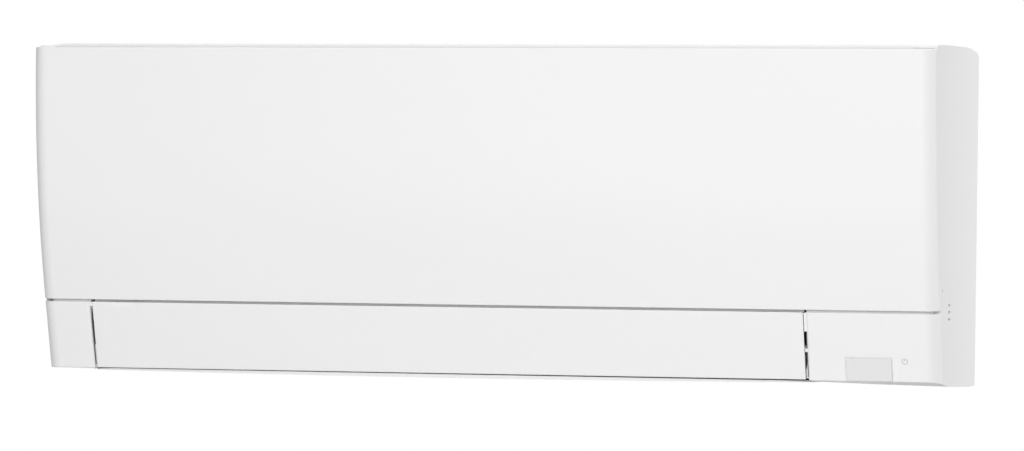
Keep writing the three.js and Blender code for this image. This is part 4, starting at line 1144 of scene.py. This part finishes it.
# ------------------------------------------------------------------ horizontal vane
@dataclass
class HorizontalVane:
    """The long flap that closes the outlet mouth."""

    x0: float = -352.2
    x1: float = 282.8
    top: float = 227.0
    end: float = 285.7
    thick: float = 2.2
    lip: float = 0.8
    rebate: tuple[float, float, float] = (8.2, 9.6, 225.2)
    end_round: float = 0.5
    end_draw: float = 0.6
    end_rise: float = 0.5
    rise_x: float = -300.0
    rise_run: float = 560.0
    rise_high: float = 8.0
    scoop: float = 1.5
    scoop_edge: float = 0.12
    scoop_high: float = 2.8
    web_in: float = 6.0
    web_wide: float = 2.0
    pivot: tuple[float, float] = (199.3, 259.3)
    pin: float = 3.0
    pin_tip: float = 2.6
    pin_ends: tuple[float, float] = (-359.6, 294.2)
    grip: tuple[float, float] = (-334.0, -311.0)
    pieces: list[bpy.types.Object] = field(default_factory=list)

    def ring(self) -> tuple[Array, Array]:
        """Section of the flap: down the face, round the lower lip, back, up the inside, round the top.

        Returns:
            e and h of the section, in order.
        """
        r, t = self.lip, self.thick
        face = np.linspace(self.top + r, self.end - r, 26)
        a = np.radians(np.linspace(0, 90, 7))[1:]
        low = FRONT.out(self.end) - (self.pivot[0] - 0.6)
        e0, e1, high = self.rebate
        foot = np.linspace(r + 0.2, low, 5)
        inside = np.linspace(self.end - 4, self.top + 1.6, 18)
        e = np.concatenate([np.zeros(len(face)), r - r * np.cos(a), foot, [low], [t + 0.6, t],
                            np.full(len(inside), t), [e1, e1, e0, e0, r + 0.1], r - r * np.sin(a)])
        h = np.concatenate([face, self.end - r + r * np.sin(a), np.full(len(foot), self.end),
                            [self.end - 1.6, self.end - 1.7, self.end - 2.4], inside,
                            [self.top + 1.6, high, high, self.top, self.top], self.top + r - r * np.cos(a)])
        return e, h

    def flap(self) -> bpy.types.Object:
        """The section carried along X, drawn in at both ends, its top edge set back for a finger."""
        e, h = self.ring()
        r = self.end_round
        turn = np.radians(np.linspace(0, 90, 5))
        grip0, grip1 = self.grip
        x = np.concatenate([self.x0 + r - r * np.cos(turn),
                            np.linspace(self.x0 + 3, grip0 - 3, 5),
                            np.linspace(grip0, grip1, 25),
                            np.linspace(grip1 + 3, self.x1 - 3, 40),
                            self.x1 - r + r * np.sin(turn)])
        share = np.zeros(len(x))
        share[:len(turn)] = 1 - np.sin(turn)
        share[-len(turn):] = 1 - np.cos(turn)
        share = self.end_draw * share[:, None]
        ee = e + (np.maximum(e, 0.8) - e) * share
        hh = h + (np.clip(h, self.top + 1.0, self.end - 1.0) - h) * share
        t = ramp(x, grip0, grip1 - grip0)
        scoop = self.scoop * ramp(np.minimum(t, 1 - t), 0.0, self.scoop_edge) ** 0.5
        ee = ee + scoop[:, None] * (1 - ramp(hh, self.top, self.scoop_high))
        near_end = 1 - ramp(-hh, -self.end, self.rise_high)
        hh = hh - self.end_rise * ramp(x[:, None], self.rise_x, self.rise_run) * near_end
        body = row(x[:, None], FRONT.out(hh) - ee, hh)
        return Surface("vane_flap").closed(body, flip=False).build()

    def arms(self) -> bpy.types.Object:
        """Five webs behind the flap and the two pins on its end webs."""
        p, h = self.pivot
        run = np.linspace(240, 280, 9)
        ring = np.concatenate([np.stack([FRONT.out(run) - 1.2, run], axis=1),
                               [[p - 3.5, h + 4], [p - 4.4, h], [p - 3.5, h - 4]]])
        made = Surface("vane_arms")
        left, right = self.x0 + self.web_in, self.x1 - self.web_in
        mids = [self.x0 + (self.x1 - self.x0) * t for t in (0.25, 0.5, 0.75)]
        for x in (left, *mids, right):
            made.bar(ring, x - self.web_wide / 2, x + self.web_wide / 2)
        radius = np.array([self.pin_tip, self.pin, self.pin]) / 1000.0
        for x0, x1 in ((self.pin_ends[0], left), (right, self.pin_ends[1])):
            made.tube(row(np.array([x0, x0 + 0.4, x1]), p, h), radius)
        return made.build(Shading.CRISP)

    def shade_strip(self) -> bpy.types.Object:
        """A dark strip behind the lower right end, which narrows the slit behind the face and paints shade
        into it.
        """
        # painted shade: a dark strip stands in for the shade in the lower part of the slit beside the vane's
        # end
        ring = skin_band(np.linspace(262.6, 283.4, 8), 4.0, 5.2)
        return Surface("vane_end_shade_strip").bar(ring, self.x1 - 3.0, self.x1 + 1.3).build(Shading.CRISP)

    def build(self) -> None:
        """Makes the flap, its arms and its end strip of painted shade."""
        flap = self.flap()
        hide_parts("horizontal_vane")
        self.pieces = [flap, self.arms(), self.shade_strip()]

    def dress(self) -> None:
        """White gloss with a dark strip of painted shade, riding on the vane body."""
        for piece, finish in zip(self.pieces, (Finish.WHITE_GLOSS, Finish.WHITE_GLOSS, Finish.RUBBER)):
            finish.dress(piece)
            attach(piece, "vane")


# ------------------------------------------------------------------ carried-over nodes
@dataclass
class CasingEnds:
    """Webs that close the casing behind the panel's hinge arms, and a screen behind the sensor's vents."""

    inner: float = 376.0
    outer: float = 396.6
    p: tuple[float, float] = (225.6, 228.0)
    h: tuple[float, float] = (1.6, 11.6)
    vent_x: tuple[float, float] = (395.4, 396.5)
    vent_p: tuple[float, float] = (152.0, 170.0)
    vent_h: tuple[float, float] = (218.0, 239.0)
    pieces: list[bpy.types.Object] = field(default_factory=list)

    def build(self) -> None:
        """A small upright plate at each end, and a plate just inside the right cheek."""
        made = Surface("casing_end_webs")
        for side in (-1, 1):
            made.bar(rectangle(self.p, self.h), *sorted((side * self.inner, side * self.outer)))
        webs = made.build(Shading.CRISP)
        soften(webs, 0.3)
        screen = Surface("sensor_vent_screen").bar(rectangle(self.vent_p, self.vent_h), *self.vent_x)
        self.pieces = [webs, screen.build(Shading.CRISP)]

    def dress(self) -> None:
        """White satin, fixed to the unit."""
        for piece in self.pieces:
            Finish.WHITE_SATIN.dress(piece)
            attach(piece, "base")


@dataclass
class FrameNodes:
    """The nodes that keep their frame shape, some as merged copies that are rounded or eased."""

    rounded: dict[str, tuple[float, Finish]] = field(default_factory=lambda: {
        "front_casing": (0.25, Finish.WHITE_SATIN),
        "wall_plate": (0.25, Finish.STEEL),
        "casing_screw_1": (0.0, Finish.STEEL),
        "casing_screw_2": (0.0, Finish.STEEL),
        "casing_screw_3": (0.0, Finish.STEEL),
    })
    plain: dict[str, Finish] = field(default_factory=lambda: {
        "rear_chassis": Finish.GREY_INNER,
        "display_board": Finish.BOARD,
        "vane_bush": Finish.WHITE_INNER,
        "vane_motor": Finish.WHITE_INNER,
        "louver_base_left": Finish.GREY_INNER,
        "louver_base_right": Finish.GREY_INNER,
        "louver_link_left": Finish.GREY_INNER,
        "louver_link_right": Finish.GREY_INNER,
        "cross_flow_fan": Finish.BLACK_PLASTIC,
        "motor_shaft": Finish.STEEL,
        "fan_motor": Finish.STEEL,
        "motor_mount_left": Finish.RUBBER,
        "motor_mount_right": Finish.RUBBER,
        "motor_bracket": Finish.STEEL,
        "fan_bearing": Finish.RUBBER,
        "bearing_holder": Finish.WHITE_INNER,
        "coil_rear": Finish.FINS,
        "coil_upper": Finish.FINS,
        "coil_lower": Finish.FINS,
        "coil_plate_left": Finish.STEEL,
        "coil_plate_right": Finish.STEEL,
        "gas_pipe": Finish.COPPER,
        "liquid_pipe": Finish.COPPER,
        "drain_pan": Finish.GREY_INNER,
        "drain_cap": Finish.RUBBER,
        "air_filter_left": Finish.NET,
        "air_filter_right": Finish.NET,
        "electrical_box": Finish.WHITE_INNER,
        "electrical_cover": Finish.STEEL,
        "control_board": Finish.BOARD,
        "terminal_block": Finish.BLACK_PLASTIC,
        "manual_switch": Finish.WHITE_SATIN,
        "coil_sensor": Finish.COPPER,
        "room_sensor": Finish.WHITE_INNER,
    })

    def build(self) -> None:
        """Makes the merged copies."""
        for node, (width, finish) in self.rounded.items():
            piece = merged_copy(node, f"{node}_skin", width)
            finish.dress(piece)
            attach(piece, body_of_node(node))

    def dress(self) -> None:
        """Gives every kept node its finish."""
        louvers = [n for n in frame["nodes"] if n.startswith("louver_") and n[-1].isdigit()]
        for node in louvers:
            self.plain[node] = Finish.GREY_INNER
        for node, finish in self.plain.items():
            finish.dress(frame["nodes"][node])


# ------------------------------------------------------------------ studio
@dataclass
class Lamp:
    """A soft square lamp."""

    name: str
    place: tuple[float, float, float]
    aim: tuple[float, float, float]
    size: float
    power: float

    def build(self) -> None:
        """Puts the lamp in place, turned towards its aim."""
        data = bpy.data.lights.new(self.name, "AREA")
        data.shape = "SQUARE"
        data.size = self.size
        data.energy = self.power
        lamp = bpy.data.objects.new(self.name, data)
        bpy.context.scene.collection.objects.link(lamp)
        away = np.array(self.aim) - np.array(self.place)
        lamp.location = self.place
        yaw = math.atan2(away[1], away[0]) - math.pi / 2
        pitch = math.atan2(away[2], math.hypot(away[0], away[1]))
        lamp.rotation_euler = (math.pi / 2 + pitch, 0.0, yaw)
        lamp.visible_camera = False
        lamp.visible_glossy = False


@dataclass
class Studio:
    """Camera, white surroundings, pale floor and soft lamps."""

    eye: tuple[float, float, float] = (1.083, -4.434, 0.148)
    lens: float = 177.6
    yaw: float = 14.05
    pitch: float = -2.03
    roll: float = 0.12
    floor_z: float = -1.6
    floor_y: float = -0.5
    floor_radius: float = 4.5
    surround: float = 0.25
    top_glow: float = 0.2
    right_glow: float = -0.04
    left_shade: float = 0.6
    lamps: tuple[Lamp, ...] = (
        Lamp("front_lamp", (0.47, -3.0, 0.5), (0.05, -0.2, 0.0), 1.4, 55.8),
        Lamp("rim_lamp", (1.44, 0.48, 0.1), (0.4, -0.12, 0.0), 0.8, 8.1),
        Lamp("top_lamp", (0.1, 0.4, 1.6), (0.0, -0.2, 0.15), 0.9, 20.0),
    )

    def camera(self) -> None:
        """Looks from the viewer's right, a little down, with the photograph's long lens."""
        data = bpy.data.cameras.new("camera")
        data.sensor_width = 36.0
        data.lens = self.lens
        data.clip_start, data.clip_end = 0.05, 100.0
        camera = bpy.data.objects.new("camera", data)
        bpy.context.scene.collection.objects.link(camera)
        yaw, pitch, roll = (math.radians(a) for a in (self.yaw, self.pitch, self.roll))
        level = math.cos(pitch)
        ahead = np.array([-math.sin(yaw) * level, math.cos(yaw) * level, math.sin(pitch)])
        right = np.array([math.cos(yaw), math.sin(yaw), 0.0])
        up = np.cross(right, ahead)
        side = right * math.cos(roll) + up * math.sin(roll)
        above = up * math.cos(roll) - right * math.sin(roll)
        turn = np.stack([side, above, -ahead], axis=1)
        place = np.eye(4)
        place[:3, :3] = turn
        place[:3, 3] = self.eye
        camera.matrix_world = Matrix(place.tolist())
        bpy.context.scene.camera = camera

    def surroundings(self) -> None:
        """White for the camera, white that dims to the left for mirror rays, and a softer glow for light."""
        world = bpy.data.worlds.new("studio")
        bpy.context.scene.world = world
        world.use_nodes = True
        g = Graph(world.node_tree)
        camera, clear, mirror = (g.node("ShaderNodeLightPath", out=name) for name in
                                 ("Is Camera Ray", "Is Transmission Ray", "Is Glossy Ray"))
        seen = camera.most(clear)
        way = g.node("ShaderNodeTexCoord", out="Generated")
        x, z = (g.node("ShaderNodeSeparateXYZ", inputs={0: way}, out=i) for i in (0, 2))
        glow = self.surround + z.most(0.0) * self.top_glow + x * self.right_glow
        mirrored = 1 - (0 - x).most(0.0) * self.left_shade
        level = seen + (1 - seen) * (mirror * mirrored + (1 - mirror) * glow)
        light = g.node("ShaderNodeBackground", None, {"Color": (1.0, 1.0, 1.0), "Strength": level})
        g.node("ShaderNodeOutputWorld", None, {"Surface": light})

    def floor(self) -> None:
        """A wide pale floor: a disc of rings well below the unit."""
        ring = np.linspace(0.02, self.floor_radius, 12)[:, None]
        t = np.linspace(0, 2 * math.pi, 64, endpoint=False)[None]
        x, y = ring * np.cos(t), ring * np.sin(t) + self.floor_y
        points = np.stack([x, y, np.full(x.shape, self.floor_z)], axis=-1)
        piece = Surface("floor").grid(points, around=True).cap(points[0]).build()
        made, g = new_material("pale_floor")
        dust = g.noise(300.0, 3.0)
        g.surface(Base_Color=g.blend(dust, (0.83, 0.83, 0.83), (0.86, 0.86, 0.86)),
                  Roughness=0.7 + dust * 0.1)
        piece.data.materials.append(made)
        piece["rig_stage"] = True

    def build(self) -> None:
        """Sets up the whole studio."""
        self.camera()
        self.surroundings()
        self.floor()
        for lamp in self.lamps:
            lamp.build()
        bpy.context.scene.view_settings.view_transform = "Standard"


def main() -> None:
    """Builds the studio and each sub-assembly in order, and reports the pieces."""
    logging.basicConfig(level=logging.INFO, format="%(name)s: %(message)s")
    Studio().build()
    parts: list[Any] = [
        FrontPanel(),
        CornerCover(side=1, inner=285.2, window=WINDOW, stops=((227.4, 243.6), (258.4, 261.4))),
        CornerCover(side=-1, inner=354.6, low=286.1, slope=0.09, open_from=32.0, stops=((227.4, 231.0),)),
        DisplayWindow(),
        HorizontalVane(),
        CasingEnds(),
        FrameNodes(),
    ]
    for part in parts:
        part.build()
        part.dress()
        LOG.info("built %s", type(part).__name__)
    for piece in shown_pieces():
        LOG.info("piece %s, %d faces", piece.name, len(piece.data.polygons))


if __name__ == "__main__":
    main()
